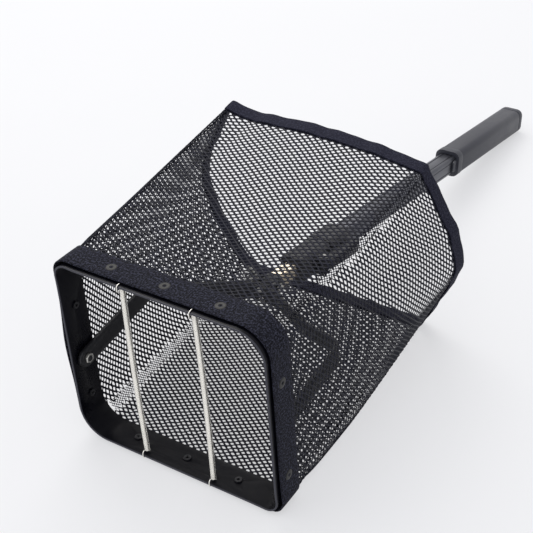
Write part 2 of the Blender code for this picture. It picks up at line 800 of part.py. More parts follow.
def make_inner_half():
    width = INNER_TUBE_SIZE
    neck = INNER_TUBE_START - FIT_GAP
    eye = [(neck, -width / 2)]
    eye += [(neck, width / 2), (EYE_RADIUS * 0.6, width / 2)]
    eye += arc((0, 0), EYE_RADIUS, 75, 285, CORNER_STEPS)
    eye += [(EYE_RADIUS * 0.6, -width / 2)]
    socket = plate("tube_socket", [eye], width)
    place(socket, HANDLE_FRAME, (0, 0, 0), (math.pi / 2, 0, math.pi / 2))
    plug_size = width - 2 * INNER_TUBE_WALL - 2 * FIT_GAP
    plug_length = PLUG_LENGTH + PLUG_ROOT
    plug_outline = rounded(plug_size, plug_size, PLUG_CORNER, 2)
    plug = plate("socket_plug", [plug_outline], plug_length, CUTTERS)
    place_along(hide(plug), HANDLE_FRAME, neck - PLUG_ROOT, plug_length)
    boolean(socket, plug, "UNION")
    boolean(
        socket,
        rod_cutter(
            "eye_bore", BOLT_HOLE_RADIUS, 2 * width, (0, 0, 0), (0, math.pi / 2, 0), HANDLE_FRAME
        ),
    )
    pin_spot = INNER_TUBE_START + PLUG_LENGTH / 2
    bore = SOCKET_PIN_RADIUS + FIT_GAP
    pin_hole = rod_cutter(
        "socket_pin_hole", bore, 2 * width, (0, pin_spot, 0), (0, 0, 0), HANDLE_FRAME
    )
    paint(boolean(socket, pin_hole), BLACK_PLASTIC)

    tube = square_tube(
        "inner_tube",
        width,
        INNER_TUBE_WALL,
        INNER_TUBE_CORNER,
        INNER_TUBE_START,
        INNER_TUBE_LENGTH,
        HANDLE_FRAME,
    )
    paint(boolean(tube, pin_hole), BRUSHED_ALUMINIUM)

    pin_half = width / 2 - FIT_GAP / 2
    pin_profile = [
        (0, pin_half),
        (SOCKET_PIN_RADIUS - PIN_CHAMFER, pin_half),
        (SOCKET_PIN_RADIUS, pin_half - PIN_CHAMFER),
        (SOCKET_PIN_RADIUS, -pin_half + PIN_CHAMFER),
        (SOCKET_PIN_RADIUS - PIN_CHAMFER, -pin_half),
        (0, -pin_half),
    ]
    place(paint(turned("socket_pin", pin_profile), BRIGHT_STEEL), HANDLE_FRAME, (0, pin_spot, 0))

    tube_end = INNER_TUBE_START + INNER_TUBE_LENGTH
    flange = OUTER_TUBE_SIZE - 2 * OUTER_TUBE_WALL - 2 * FIT_GAP
    bush = plate("guide_bush", [rounded(flange, flange, STEM_CORNER, 2)], BUSH_LENGTH)
    place_along(bush, HANDLE_FRAME, tube_end + FIT_GAP, BUSH_LENGTH)
    stem_length = STEM_LENGTH + STEM_ROOT
    stem = plate("bush_stem", [plug_outline], stem_length, CUTTERS)
    place_along(hide(stem), HANDLE_FRAME, tube_end - STEM_LENGTH, stem_length)
    paint(boolean(bush, stem, "UNION"), BLACK_PLASTIC)


def grooved_square(size, corner):
    """The rounded square of the outer tube, each side with a pair of shallow grooves."""
    outline = []
    half = size / 2
    for number in range(4):
        turn = math.radians(90 * number)
        side = []
        for centre in (-GROOVE_OFFSET, GROOVE_OFFSET):
            for across, deep in ((-1, 0), (-0.7, 1), (0.7, 1), (1, 0)):
                side.append((half - deep * GROOVE_DEPTH, centre + across * GROOVE_WIDTH / 2))
        side += arc((half - corner, half - corner), corner, 0, 90, TUBE_STEPS)
        for x, y in side:
            outline.append(
                (x * math.cos(turn) - y * math.sin(turn), x * math.sin(turn) + y * math.cos(turn))
            )
    return outline


def ring_piece(name, size, corner, bore, start, length, edge):
    """A rounded square sleeve on the handle with softened edges."""
    outer = rounded(size, size, corner, TUBE_STEPS)
    inner = rounded(bore, bore, min(corner, bore / 5), TUBE_STEPS)
    piece = place_along(plate(name, [outer, inner], length), HANDLE_FRAME, start, length)
    return bevel(piece, edge, 1 if length < 15 * edge else 2)


def make_outer_half():
    slide_bore = INNER_TUBE_SIZE + 2 * FIT_GAP
    tube_bore = OUTER_TUBE_SIZE + 2 * FIT_GAP
    ring_start = LOCK_START + SLEEVE_LENGTH + FIT_GAP
    clamp_start = ring_start + RING_LENGTH + FIT_GAP
    tube_start = clamp_start + FIT_GAP
    grip_end = GRIP_START + GRIP_LENGTH

    make_lock_sleeve(slide_bore)
    ring = ring_piece(
        "lock_ring", RING_SIZE, LOCK_CORNER, slide_bore, ring_start, RING_LENGTH, RING_EDGE
    )
    paint(ring, BLACK_GLOSS)
    clamp = ring_piece(
        "lock_clamp", CLAMP_SIZE, LOCK_CORNER, tube_bore, clamp_start, CLAMP_LENGTH, MOULDED_EDGE
    )
    paint(clamp, BLACK_PLASTIC)
    tube = square_tube(
        "outer_tube",
        OUTER_TUBE_SIZE,
        OUTER_TUBE_WALL,
        OUTER_TUBE_CORNER,
        tube_start,
        grip_end - TUBE_SHORT_OF_GRIP_END - tube_start,
        HANDLE_FRAME,
        grooved_square(OUTER_TUBE_SIZE, OUTER_TUBE_CORNER),
    )
    paint(tube, BLACK_STEEL)
    make_collar(tube_bore)
    grip = ring_piece(
        "grip", GRIP_SIZE, GRIP_CORNER, tube_bore, GRIP_START, GRIP_LENGTH, MOULDED_EDGE
    )
    paint(grip, GREY_GRIP)

    cap = plate("grip_cap", [rounded(GRIP_SIZE, GRIP_SIZE, GRIP_CORNER, TUBE_STEPS)], CAP_LENGTH)
    place_along(cap, HANDLE_FRAME, CAP_START, CAP_LENGTH)
    round_far_end(cap)
    plug = OUTER_TUBE_SIZE - 2 * OUTER_TUBE_WALL - 2 * FIT_GAP
    stem_length = STEM_LENGTH + STEM_ROOT
    stem = plate("cap_stem", [rounded(plug, plug, STEM_CORNER, 2)], stem_length, CUTTERS)
    place_along(hide(stem), HANDLE_FRAME, CAP_START - STEM_LENGTH, stem_length)
    paint(boolean(cap, stem, "UNION"), GREY_GRIP)


def round_far_end(cap):
    """Rounds the cap's rear rim only: local Z runs towards the hoop."""
    shape = bmesh.new()
    shape.from_mesh(cap.data)
    far = -CAP_LENGTH / 2
    rim = [edge for edge in shape.edges if all(abs(vert.co.z - far) < 1e-6 for vert in edge.verts)]
    bmesh.ops.bevel(
        shape, geom=rim, offset=CAP_ROUNDING, segments=3, profile=0.5, affect="EDGES"
    )
    shape.to_mesh(cap.data)
    shape.free()


def make_lock_sleeve(bore):
    sleeve = ring_piece(
        "lock_sleeve", SLEEVE_SIZE, LOCK_CORNER, bore, LOCK_START, SLEEVE_LENGTH, MOULDED_EDGE
    )
    root = SLEEVE_SIZE / 2 - EAR_SINK
    along = LEVER_PIN_ALONG
    ear = [(root, along - EAR_ROOT_HALF)]
    ear += arc((LEVER_PIN_OUT, along), EAR_RADIUS, -80, 80, CORNER_STEPS)
    ear += [(root, along + EAR_ROOT_HALF)]
    ear_middle = LEVER_WIDTH / 2 + FIT_GAP + EAR_WALL / 2
    for number, side in enumerate((1, -1)):
        lug = plate(f"lock_ear_{number}", [ear], EAR_WALL, CUTTERS)
        place(hide(lug), HANDLE_FRAME, (0, 0, side * ear_middle))
        boolean(sleeve, lug, "UNION")
    hole = rod_cutter(
        "lever_pin_hole",
        LEVER_PIN_RADIUS + FIT_GAP,
        2 * HUB_WIDTH,
        (LEVER_PIN_OUT, along, 0),
        (0, 0, 0),
        HANDLE_FRAME,
    )
    paint(boolean(sleeve, hole), BLACK_PLASTIC)

    head_face = ear_middle + EAR_WALL / 2 + FIT_GAP
    crown = LEVER_PIN_HEAD_RADIUS - LEVER_PIN_CROWN
    shoulder = LEVER_PIN_HEAD_DEPTH - LEVER_PIN_DOME
    pin_profile = [
        (0, head_face + LEVER_PIN_HEAD_DEPTH),
        (crown, head_face + shoulder),
        (LEVER_PIN_HEAD_RADIUS, head_face),
        (LEVER_PIN_RADIUS, head_face),
        (LEVER_PIN_RADIUS, -head_face),
        (LEVER_PIN_HEAD_RADIUS, -head_face),
        (crown, -head_face - shoulder),
        (0, -head_face - LEVER_PIN_HEAD_DEPTH),
    ]
    pin = paint(turned("lever_pin", pin_profile), BRIGHT_STEEL)
    place(pin, HANDLE_FRAME, (LEVER_PIN_OUT, along, 0))
    make_lever(hole)


def make_lever(hole):
    """The flip lever in its own frame: the pin is the origin and the closed lever runs along +Y."""
    clear = CLAMP_SIZE / 2 + LEVER_GAP - LEVER_PIN_OUT
    crest = LEVER_OUTER - LEVER_PIN_OUT
    tip = LEVER_LENGTH
    outline = arc((0, 0), -clear, 180, 330, CORNER_STEPS)
    outline += [
        (crest * 0.72, tip * 0.12),
        (crest * 0.95, tip * 0.35),
        (crest, tip * 0.60),
        (crest * 0.98, tip * 0.90),
        (crest * 0.75, tip),
        (clear + 0.0022, tip),
        (clear + 0.0004, tip - 0.005),
        (clear, tip - 0.010),
    ]
    lever = place(plate("lock_lever", [outline], LEVER_WIDTH), LEVER_FRAME)
    bevel(lever, MOULDED_EDGE, 2, 60)
    boolean(lever, hole)
    paint(lever, BLACK_PLASTIC)


def make_collar(bore):
    """The ring in front of the grip, with a tongue lying forward on each side of the tube."""
    start = GRIP_START - FIT_GAP - COLLAR_LENGTH
    collar = ring_piece(
        "grip_collar", COLLAR_SIZE, GRIP_CORNER, bore, start, COLLAR_LENGTH, COLLAR_EDGE
    )
    root = start + LIP_ROOT
    far = start - LIP_LENGTH + LIP_CORNER
    side_centre = LIP_WIDTH / 2 - LIP_CORNER
    tongue = [(root, -LIP_WIDTH / 2), (root, LIP_WIDTH / 2)]
    tongue += arc((far, side_centre), LIP_CORNER, 90, 180, 3)
    tongue += arc((far, -side_centre), LIP_CORNER, 180, 270, 3)
    for number, side in enumerate((1, -1)):
        lip = plate(f"collar_lip_{number}", [tongue], LIP_WALL, CUTTERS)
        across = side * (bore + LIP_WALL) / 2
        place(hide(lip), HANDLE_FRAME, (across, 0, 0), (math.pi / 2, 0, math.pi / 2))
        boolean(collar, lip, "UNION")
    paint(collar, BLACK_PLASTIC)


# Net bag: four panels, corner seams and the rear binding


def side_lengths(side):
    """The length of a hoop side between its corners, and of the half corner at each of its ends."""
    long_side = HOOP_HEIGHT if side % 2 else HOOP_WIDTH
    return long_side - 2 * HOOP_CORNER, (HOOP_CORNER - NET_INSET) * math.pi / 4


def hem_edge(turn):
    """A point on the hoop's outline: whole turns are the corners, clockwise from the top left."""
    side = int(turn) % 4
    share = turn - int(turn)
    radius = HOOP_CORNER - NET_INSET
    straight, eighth = side_lengths(side)
    along = share * (straight + 2 * eighth) - eighth
    out = (HOOP_WIDTH if side % 2 else HOOP_HEIGHT) / 2 - NET_INSET
    if along < 0:
        angle = along / radius
        flat = (-straight / 2 + radius * math.sin(angle), out - radius + radius * math.cos(angle))
    elif along > straight:
        angle = (along - straight) / radius
        flat = (straight / 2 + radius * math.sin(angle), out - radius + radius * math.cos(angle))
    else:
        flat = (along - straight / 2, out)
    x, z = turned_side(flat, side)
    return Vector((x, z + HOOP_HEIGHT / 2))


def turned_side(point, side):
    """A side's own (along, out) as (x, z) about the hoop's centre."""
    along, out = point
    return ((along, out), (out, -along), (-along, -out), (-out, along))[side]


def rear_edge(turn):
    """A point on the rear opening's outline, counted like hem_edge."""
    side = int(turn) % 4
    share = turn - int(turn)
    if side == 0:
        across = -1 + 2 * share
        height = REAR_TOP_HEIGHT + REAR_CROWN * math.cos(across * math.pi / 2)
        return Vector((across * REAR_TOP_HALF, height))
    if side == 2:
        return Vector(((1 - 2 * share) * REAR_FOOT_HALF, REAR_FOOT_HEIGHT))
    down = share if side == 1 else 1 - share
    straight = REAR_TOP_HALF + (REAR_FOOT_HALF - REAR_TOP_HALF) * down
    half = straight + REAR_BULGE * math.sin(down * math.pi)
    height = REAR_TOP_HEIGHT + (REAR_FOOT_HEIGHT - REAR_TOP_HEIGHT) * down
    return Vector((half if side == 1 else -half, height))


def outward(edge, turn):
    step = 0.002
    along = edge((turn + step) % 4) - edge((turn - step) % 4)
    return Vector((-along.y, along.x)).normalized()


def net_point(turn, station, out=0.0):
    """A point of the net: station 0 is the hem's front, 1 the hoop's rear, 2 the rear opening."""
    turn %= 4
    front = hem_edge(turn) + outward(hem_edge, turn) * out
    if station <= 1:
        return Vector((front.x, HEM_FRONT + (HEM_REAR - HEM_FRONT) * station, front.y))
    rear = rear_edge(turn) + outward(rear_edge, turn) * out
    start = Vector((front.x, HEM_REAR, front.y))
    end = Vector((rear.x, MOUTH_REAR_DEPTH - REAR_LEAN * rear.y, rear.y))
    return start.lerp(end, station - 1)


def loft(name, rows, closed=False):
    """A sheet through rows of points, or with closed a solid whose rows and ends both meet."""
    shape = bmesh.new()
    grid = [[shape.verts.new(point) for point in row] for row in rows]
    lines = list(zip(grid, grid[1:]))
    if closed:
        lines.append((grid[-1], grid[0]))
    for first, second in lines:
        columns = list(range(len(first) - 1))
        if closed:
            columns.append(-1)
        for column in columns:
            shape.faces.new(
                (first[column], first[column + 1], second[column + 1], second[column])
            )
    bmesh.ops.recalc_face_normals(shape, faces=shape.faces)
    return bmesh_object(name, shape)


def skin(obj, wall):
    """Gives a sheet its wall on the side that faces the bag's inside."""
    centre = Vector((0, HEM_REAR, HOOP_HEIGHT / 2))
    middle = obj.data.polygons[len(obj.data.polygons) // 2]
    outside = middle.center - centre
    outside.y = 0
    solidify = obj.modifiers.new("Wall", "SOLIDIFY")
    solidify.thickness = wall
    solidify.offset = -1 if middle.normal.dot(outside) > 0 else 1
    solidify.use_even_offset = True
    return obj


def hole_bands(low, high, count, bar):
    """The low and high ends of evenly spaced openings with a bar between each two."""
    width = (high - low - (count - 1) * bar) / count
    return [(low + (width + bar) * step, low + (width + bar) * step + width) for step in range(count)]


def open_turns(side):
    """The openings across a panel, between the half corners at its edges."""
    straight, eighth = side_lengths(side)
    width = straight + 2 * eighth
    return hole_bands(side + eighth / width, side + 1 - eighth / width, NET_HOLES_ACROSS, NET_BAR / width)


def open_stations():
    """The openings along a panel, a bar's width clear of the webbing and the binding."""
    bar = NET_BAR / (MOUTH_REAR_DEPTH - HEM_REAR)
    return hole_bands(1 + bar, BINDING_STATION - bar, NET_HOLES_ALONG, bar)


def panel_turns(side):
    """Where a panel is sampled: its half corners as finely as the hoop's, then its openings' edges."""
    straight, eighth = side_lengths(side)
    bend = eighth / (straight + 2 * eighth)
    fine = CORNER_STEPS // 2
    corner = [PANEL_EDGE_SHARE] + [bend * step / fine for step in range(1, fine)]
    edges = [edge for band in open_turns(side) for edge in band]
    return [side + share for share in corner] + edges + [side + 1 - share for share in reversed(corner)]


def in_bands(bands, low, high):
    return any(start < (low + high) / 2 < end for start, end in bands)


def make_panels(drill):
    """The net's four panels, each with a plain grid of openings between its hem and its rear edge."""
    rows = [0, 1] + [edge for band in open_stations() for edge in band] + [BINDING_STATION, 2]
    for side, label in enumerate(("top", "right", "bottom", "left")):
        turns = panel_turns(side)
        shape = bmesh.new()
        grid = [[shape.verts.new(net_point(turn, row)) for turn in turns] for row in rows]
        for row in range(len(rows) - 1):
            for column in range(len(turns) - 1):
                if in_bands(open_stations(), rows[row], rows[row + 1]) and in_bands(
                    open_turns(side), turns[column], turns[column + 1]
                ):
                    continue
                corners = (grid[row][column], grid[row][column + 1])
                shape.faces.new((*corners, grid[row + 1][column + 1], grid[row + 1][column]))
        bmesh.ops.recalc_face_normals(shape, faces=shape.faces)
        panel = skin(bmesh_object(f"net_{label}", shape), NET_WALL)
        place(paint(boolean(panel, drill), BLACK_NET), FRAME)


def make_seams():
    """A doubled strip of cloth over each long corner of the net, from the webbing to the binding."""
    first = 1 + 4 * FIT_GAP / (MOUTH_REAR_DEPTH - HEM_REAR)
    last = BINDING_STATION
    for corner, label in enumerate(("top_left", "top_right", "bottom_right", "bottom_left")):
        rows = []
        for row in range(SEAM_STEPS + 1):
            station = first + (last - first) * row / SEAM_STEPS
            turns = [
                corner + 4 + SEAM_SHARE * (2 * step / SEAM_STEPS - 1) for step in range(SEAM_STEPS + 1)
            ]
            rows.append([net_point(turn, station, FIT_GAP + SEAM_WALL) for turn in turns])
        seam = skin(loft(f"seam_{label}", rows), SEAM_WALL)
        place(paint(seam, BLACK_CLOTH), FRAME)


def make_binding():
    """Webbing folded over the rear edge: an open channel carried round the whole opening."""
    outer = FIT_GAP + BINDING_WALL
    inner = -NET_WALL - FIT_GAP - BINDING_WALL
    section = [
        (-BINDING_WIDTH, outer),
        (outer, outer),
        (outer, inner),
        (-BINDING_WIDTH, inner),
        (-BINDING_WIDTH, inner + BINDING_WALL),
        (FIT_GAP, inner + BINDING_WALL),
        (FIT_GAP, FIT_GAP),
        (-BINDING_WIDTH, FIT_GAP),
    ]
    rings = []
    for side in range(4):
        for turn in [side] + panel_turns(side)[1:-1]:
            edge = net_point(turn, 2)
            along = (edge - net_point(turn, 1)).normalized()
            normal = outward(rear_edge, turn)
            normal = Vector((normal.x, 0, normal.y))
            rings.append([edge + along * ahead + normal * out for ahead, out in section])
    place(paint(loft("rear_binding", rings, closed=True), BLACK_CLOTH), FRAME)


clear_scene()
PARTS = new_collection("ball_collector")
CUTTERS = new_collection("cutters")
FRAME = empty("collector_frame", None, (0, -MIDDLE_Y, 0))
YOKE_FRAME = empty(
    "yoke_axis", FRAME, (0, YOKE_AXIS_FROM_EDGE, YOKE_AXIS_HEIGHT), YOKE_RISE
)
HUB_FRAME = empty("hub_axis", YOKE_FRAME, (0, HUB_PIVOT, 0))
HANDLE_FRAME = empty("handle_axis", FRAME, (0, PIVOT_Y, PIVOT_Z), -HANDLE_PITCH)
LEVER_FRAME = empty("lever_axis", HANDLE_FRAME, (LEVER_PIN_OUT, LEVER_PIN_ALONG, 0))

hoop_drill, webbing_seats = hoop_cutters()
for cutter in (hoop_drill, webbing_seats):
    place(cutter, FRAME)
make_hoop(hoop_drill, webbing_seats)
make_rivets()
make_springs()
make_yoke()
make_yoke_bolts()
make_hub()
make_inner_half()
make_outer_half()
make_panels(hoop_drill)
make_seams()
make_binding()
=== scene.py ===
"""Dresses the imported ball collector: finishes, the knitted bag, the webbing and the coil springs."""

import math
import random

import bmesh
import bpy
import numpy as np
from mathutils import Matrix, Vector


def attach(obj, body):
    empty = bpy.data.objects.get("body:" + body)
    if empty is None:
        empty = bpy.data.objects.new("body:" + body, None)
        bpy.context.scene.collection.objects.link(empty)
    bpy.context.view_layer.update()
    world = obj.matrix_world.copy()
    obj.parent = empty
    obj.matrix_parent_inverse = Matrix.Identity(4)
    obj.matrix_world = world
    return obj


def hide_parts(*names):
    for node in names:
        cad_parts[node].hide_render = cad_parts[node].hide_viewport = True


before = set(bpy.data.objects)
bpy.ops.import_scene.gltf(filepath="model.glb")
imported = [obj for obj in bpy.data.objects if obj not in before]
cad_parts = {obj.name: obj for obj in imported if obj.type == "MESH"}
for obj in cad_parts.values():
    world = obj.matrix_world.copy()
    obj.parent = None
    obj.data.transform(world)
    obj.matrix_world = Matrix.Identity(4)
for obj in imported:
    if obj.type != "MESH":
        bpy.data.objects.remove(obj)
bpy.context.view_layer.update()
scene = bpy.context.scene

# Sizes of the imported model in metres. Y is measured from the hoop's front edge, and insets from the
# hoop's outline, which is the webbing's outside.
MIDDLE_Y = 0.33085
HOOP_WIDTH = 0.206
HOOP_HEIGHT = 0.183
HOOP_CORNER = 0.028
BAND_INSET = 0.0028
BAND_INNER_INSET = 0.0043
WEBBING_FRONT = 0.004
WEBBING_WIDTH = 0.0254
WEBBING_WALL = 0.0014
NET_WALL = 0.0008
NET_INSET = 0.0021
HEM_FRONT = 0.010
HEM_REAR = 0.030
MOUTH_REAR_DEPTH = 0.282
REAR_LEAN = 0.16
RIVET_FROM_EDGE = 0.0155
RIVET_SPREAD = 0.052
SIDE_RIVET_LOW = 0.0354
SIDE_RIVET_HIGH = 0.1296
SPRING_SPACING = HOOP_WIDTH / 6
SPRING_FROM_EDGE = 0.0083
SPRING_RADIUS = 0.0025
SPRING_WIRE = 0.0010

# Places and sizes that only this script has, in metres too
TIGHT_CORNER = 0.014
COIL_FROM_EDGE = 0.0055
SPRING_FOOT = 0.0060
SPRING_HEAD = 0.1770
SPRING_BOW = 0.0012
TAPE_LOWEST = 0.0001
NET_LOWEST = 0.0006
RIVET_LOWEST = 0.0011
MERGE_WITHIN = 1e-6

# The rear opening's outline, side by side and clockwise, as (X, Z) on its leaning plane
REAR_TOP = (
    (-0.095, 0.2065),
    (-0.068, 0.2015),
    (-0.015, 0.2040),
    (0.026, 0.2025),
    (0.065, 0.1985),
    (0.100, 0.1915),
)
REAR_RIGHT = (
    (0.100, 0.1915),
    (0.107, 0.173),
    (0.116, 0.150),
    (0.124, 0.130),
    (0.128, 0.100),
    (0.124, 0.080),
    (0.113, 0.057),
    (0.100, 0.033),
    (0.086, 0.008),
    (0.081, 0.0026),
)
REAR_FOOT = ((0.081, 0.0026), (0.040, 0.0018), (0.0, 0.0018), (-0.060, 0.0018), (-0.105, 0.0026))
REAR_LEFT = (
    (-0.105, 0.0026),
    (-0.116, 0.010),
    (-0.128, 0.034),
    (-0.140, 0.070),
    (-0.1445, 0.101),
    (-0.142, 0.120),
    (-0.134, 0.141),
    (-0.117, 0.169),
    (-0.095, 0.2065),
)


# Objects


def select_none():
    bpy.ops.object.select_all(action="DESELECT")


def select_only(obj):
    if bpy.context.object and bpy.context.object.mode != "OBJECT":
        bpy.ops.object.mode_set(mode="OBJECT")
    select_none()
    obj.select_set(True)
    bpy.context.view_layer.objects.active = obj


def new_object(name, data):
    obj = bpy.data.objects.new(name, data)
    scene.collection.objects.link(obj)
    return obj


def in_place(obj, location):
    """Moves the object's mesh to its place and leaves its origin at the middle of the scene."""
    select_only(obj)
    obj.location = location
    bpy.ops.object.transform_apply(location=True, rotation=True, scale=True)


def ride(obj, body, slot, *stands_for):
    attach(obj, body)
    if stands_for:
        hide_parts(*stands_for)


def soften_edges(obj, width):
    """Rounds the sharp edges of a selected object."""
    soften = obj.modifiers.new("edges", "BEVEL")
    soften.width = width
    soften.segments = 2
    soften.limit_method = "ANGLE"
    soften.angle_limit = math.radians(40)
    bpy.ops.object.modifier_apply(modifier=soften.name)


# Shader nodes


def shade(red, green, blue):
    return (red, green, blue, 1)


def add(tree, kind, settings=None, inputs=None):
    """A node with its settings, and each input either linked or set."""
    made = tree.nodes.new(kind)
    for key, value in (settings or {}).items():
        setattr(made, key, value)
    for key, value in (inputs or {}).items():
        if isinstance(value, bpy.types.NodeSocket):
            tree.links.new(value, made.inputs[key])
        else:
            made.inputs[key].default_value = value
    return made


def math_node(tree, operation, first, second=0.0):
    return add(tree, "ShaderNodeMath", {"operation": operation}, {0: first, 1: second}).outputs[0]


def mixed(tree, factor, first, second):
    made = add(tree, "ShaderNodeMix", {"data_type": "RGBA"}, {"Factor": factor, "A": first, "B": second})
    return made.outputs["Result"]


def spread(tree, value, low, high, to_low=0.0, to_high=1.0):
    """A value's part from low to high, spread out from to_low to to_high."""
    made = add(
        tree,
        "ShaderNodeMapRange",
        None,
        {"Value": value, "From Min": low, "From Max": high, "To Min": to_low, "To Max": to_high},
    )
    return made.outputs["Result"]


def noise(tree, vector, scale, detail, roughness=0.5):
    inputs = {"Vector": vector, "Scale": scale, "Detail": detail, "Roughness": roughness}
    return add(tree, "ShaderNodeTexNoise", None, inputs).outputs["Fac"]


def background_rays(tree):
    """One for the rays that show the background: straight from the camera, mirrored or passed through."""
    path = add(tree, "ShaderNodeLightPath")
    direct = math_node(tree, "MAXIMUM", path.outputs["Is Camera Ray"], path.outputs["Is Transmission Ray"])
    return math_node(tree, "MAXIMUM", direct, path.outputs["Is Glossy Ray"])


# Camera, light and floor

CAMERA_LENS = 85.42
CAMERA_SENSOR = 36
CAMERA_CLIP = 0.05
CAMERA_PLACE = (0.520265, -0.902068, 0.738982)
CAMERA_TURN = (54.9773, 3.54015, 33.36088)

SOFT_LIGHT = shade(0.93, 0.95, 1)
SOFT_STRENGTH = 0.66
STUDIO_WHITE = shade(0.90, 0.90, 0.91)

# Lamps: size in metres, watts, place, the place each one faces, and colour
LAMPS = {
    "window": (1.6, 21.5, (-1.0, 0.9, 1.7), (0, 0, 0.05), (1.0, 0.98, 0.96)),
    "ceiling": (2.2, 12, (-0.3, -0.6, 2.0), (0, 0, 0.05), (0.97, 0.98, 1.0)),
    "front": (1.2, 1.4, (0.9, -1.6, 0.9), (0, -0.2, 0.1), (0.96, 0.98, 1.0)),
}

FLOOR_SIZE = 40
FLOOR_DROP = 0.0004
FLOOR_DARK = shade(0.86, 0.86, 0.87)
FLOOR_LIGHT = shade(0.90, 0.90, 0.905)
FLOOR_GLOW = shade(0.90, 0.90, 0.915)
FLOOR_GLOW_SHARE = 0.6


def make_camera():
    camera = bpy.data.cameras.new("camera")
    camera.lens = CAMERA_LENS
    camera.sensor_width = CAMERA_SENSOR
    camera.clip_start = CAMERA_CLIP
    obj = new_object("camera", camera)
    obj.location = CAMERA_PLACE
    obj.rotation_euler = [math.radians(angle) for angle in CAMERA_TURN]
    scene.camera = obj
    scene.view_settings.view_transform = "Standard"


def make_world():
    """Nearly white to the camera and to reflections, and a soft even light on everything else."""
    world = bpy.data.worlds.new("studio")
    world.use_nodes = True
    tree = world.node_tree
    tree.nodes.clear()
    soft = add(tree, "ShaderNodeBackground", None, {"Color": SOFT_LIGHT, "Strength": SOFT_STRENGTH})
    white = add(tree, "ShaderNodeBackground", None, {"Color": STUDIO_WHITE, "Strength": 1.0})
    inputs = {0: background_rays(tree), 1: soft.outputs[0], 2: white.outputs[0]}
    mix = add(tree, "ShaderNodeMixShader", None, inputs)
    add(tree, "ShaderNodeOutputWorld", None, {"Surface": mix.outputs[0]})
    scene.world = world


def make_lamp(name, size, energy, location, target, colour):
    lamp = bpy.data.lights.new(name, "AREA")
    lamp.size = size
    lamp.energy = energy
    lamp.color = colour
    obj = new_object(name, lamp)
    obj.location = location
    obj.rotation_euler = (Vector(target) - Vector(location)).to_track_quat("-Z", "Y").to_euler()


def make_floor():
    """A pale matt floor just under the tool, which glows for the rays that show the background."""
    select_none()
    bpy.ops.mesh.primitive_plane_add(size=FLOOR_SIZE, location=(0, 0, -FLOOR_DROP))
    floor = bpy.context.object
    floor.name = "floor"
    material = bpy.data.materials.new("pale_floor")
    material.use_nodes = True
    tree = material.node_tree
    shader = tree.nodes["Principled BSDF"]
    coords = add(tree, "ShaderNodeTexCoord")
    grain = noise(tree, coords.outputs["Object"], scale=3.0, detail=3.0)
    tree.links.new(mixed(tree, grain, FLOOR_DARK, FLOOR_LIGHT), shader.inputs["Base Color"])
    shader.inputs["Roughness"].default_value = 0.9
    shader.inputs["Specular IOR Level"].default_value = 0.1
    glow = add(tree, "ShaderNodeEmission", None, {"Color": FLOOR_GLOW, "Strength": 1.0})
    share = math_node(tree, "MULTIPLY", background_rays(tree), FLOOR_GLOW_SHARE)
    mix = add(tree, "ShaderNodeMixShader", None, {0: share, 1: shader.outputs[0], 2: glow.outputs[0]})
    tree.links.new(mix.outputs[0], tree.nodes["Material Output"].inputs["Surface"])
    floor.data.materials.append(material)


make_camera()
make_world()
make_floor()
for name, lamp in LAMPS.items():
    make_lamp(name, *lamp)


# Finishes

SOLID_INPUTS = (
    ("Vector", "Vector", None),
    ("Scale", "Float", 900.0),
    ("Dark", "Color", shade(0.01, 0.01, 0.01)),
    ("Light", "Color", shade(0.02, 0.02, 0.02)),
    ("Smooth", "Float", 0.3),
    ("Rough", "Float", 0.5),
)
TAPE_INPUTS = (
    ("Vector", "Vector", None),
    ("Rib", "Float", 1.9),
    ("Yarn", "Float", 0.75),
    ("Dark", "Color", shade(0.01, 0.01, 0.012)),
    ("Light", "Color", shade(0.05, 0.05, 0.055)),
)


def new_group(name, inputs):
    """A shader node group with inputs given as (name, kind, value), and a finish's three outputs."""
    tree = bpy.data.node_groups.new(name, "ShaderNodeTree")
    for label, kind, value in inputs:
        socket = tree.interface.new_socket(name=label, in_out="INPUT", socket_type=f"NodeSocket{kind}")
        if value is not None:
            socket.default_value = value
    for label, kind in (("Color", "Color"), ("Roughness", "Float"), ("Height", "Float")):
        tree.interface.new_socket(name=label, in_out="OUTPUT", socket_type=f"NodeSocket{kind}")
    return tree, add(tree, "NodeGroupInput").outputs, add(tree, "NodeGroupOutput").inputs


def put_out(tree, out, colour, roughness, height):
    tree.links.new(colour, out["Color"])
    tree.links.new(roughness, out["Roughness"])
    tree.links.new(height, out["Height"])


def blend(tree, first, second, first_share):
    """Two patterns added, the first by its share and the second by the rest."""
    first = math_node(tree, "MULTIPLY", first, first_share)
    second = math_node(tree, "MULTIPLY", second, 1 - first_share)
    return math_node(tree, "ADD", first, second)


def put_out_solid(tree, entry, out, pattern, height):
    """Takes a pattern from the dark and smooth end of a finish to its light and rough end."""
    colour = mixed(tree, pattern, entry["Dark"], entry["Light"])
    roughness = spread(tree, pattern, 0.0, 1.0, to_low=entry["Smooth"], to_high=entry["Rough"])
    put_out(tree, out, colour, roughness, height)


def make_grain_group():
    """Fine pitting with broad soft blotches, for mouldings, lacquer and cast parts."""
    blotch_scale = 0.045
    tree, entry, out = new_group("moulded_grain", SOLID_INPUTS)
    fine = noise(tree, entry["Vector"], entry["Scale"], detail=3.0, roughness=0.6)
    broad_scale = math_node(tree, "MULTIPLY", entry["Scale"], blotch_scale)
    broad = noise(tree, entry["Vector"], broad_scale, detail=5.0, roughness=0.65)
    blotches = spread(tree, broad, low=0.3, high=0.72)
    put_out_solid(tree, entry, out, blend(tree, blotches, fine, first_share=0.65), fine)
    return tree


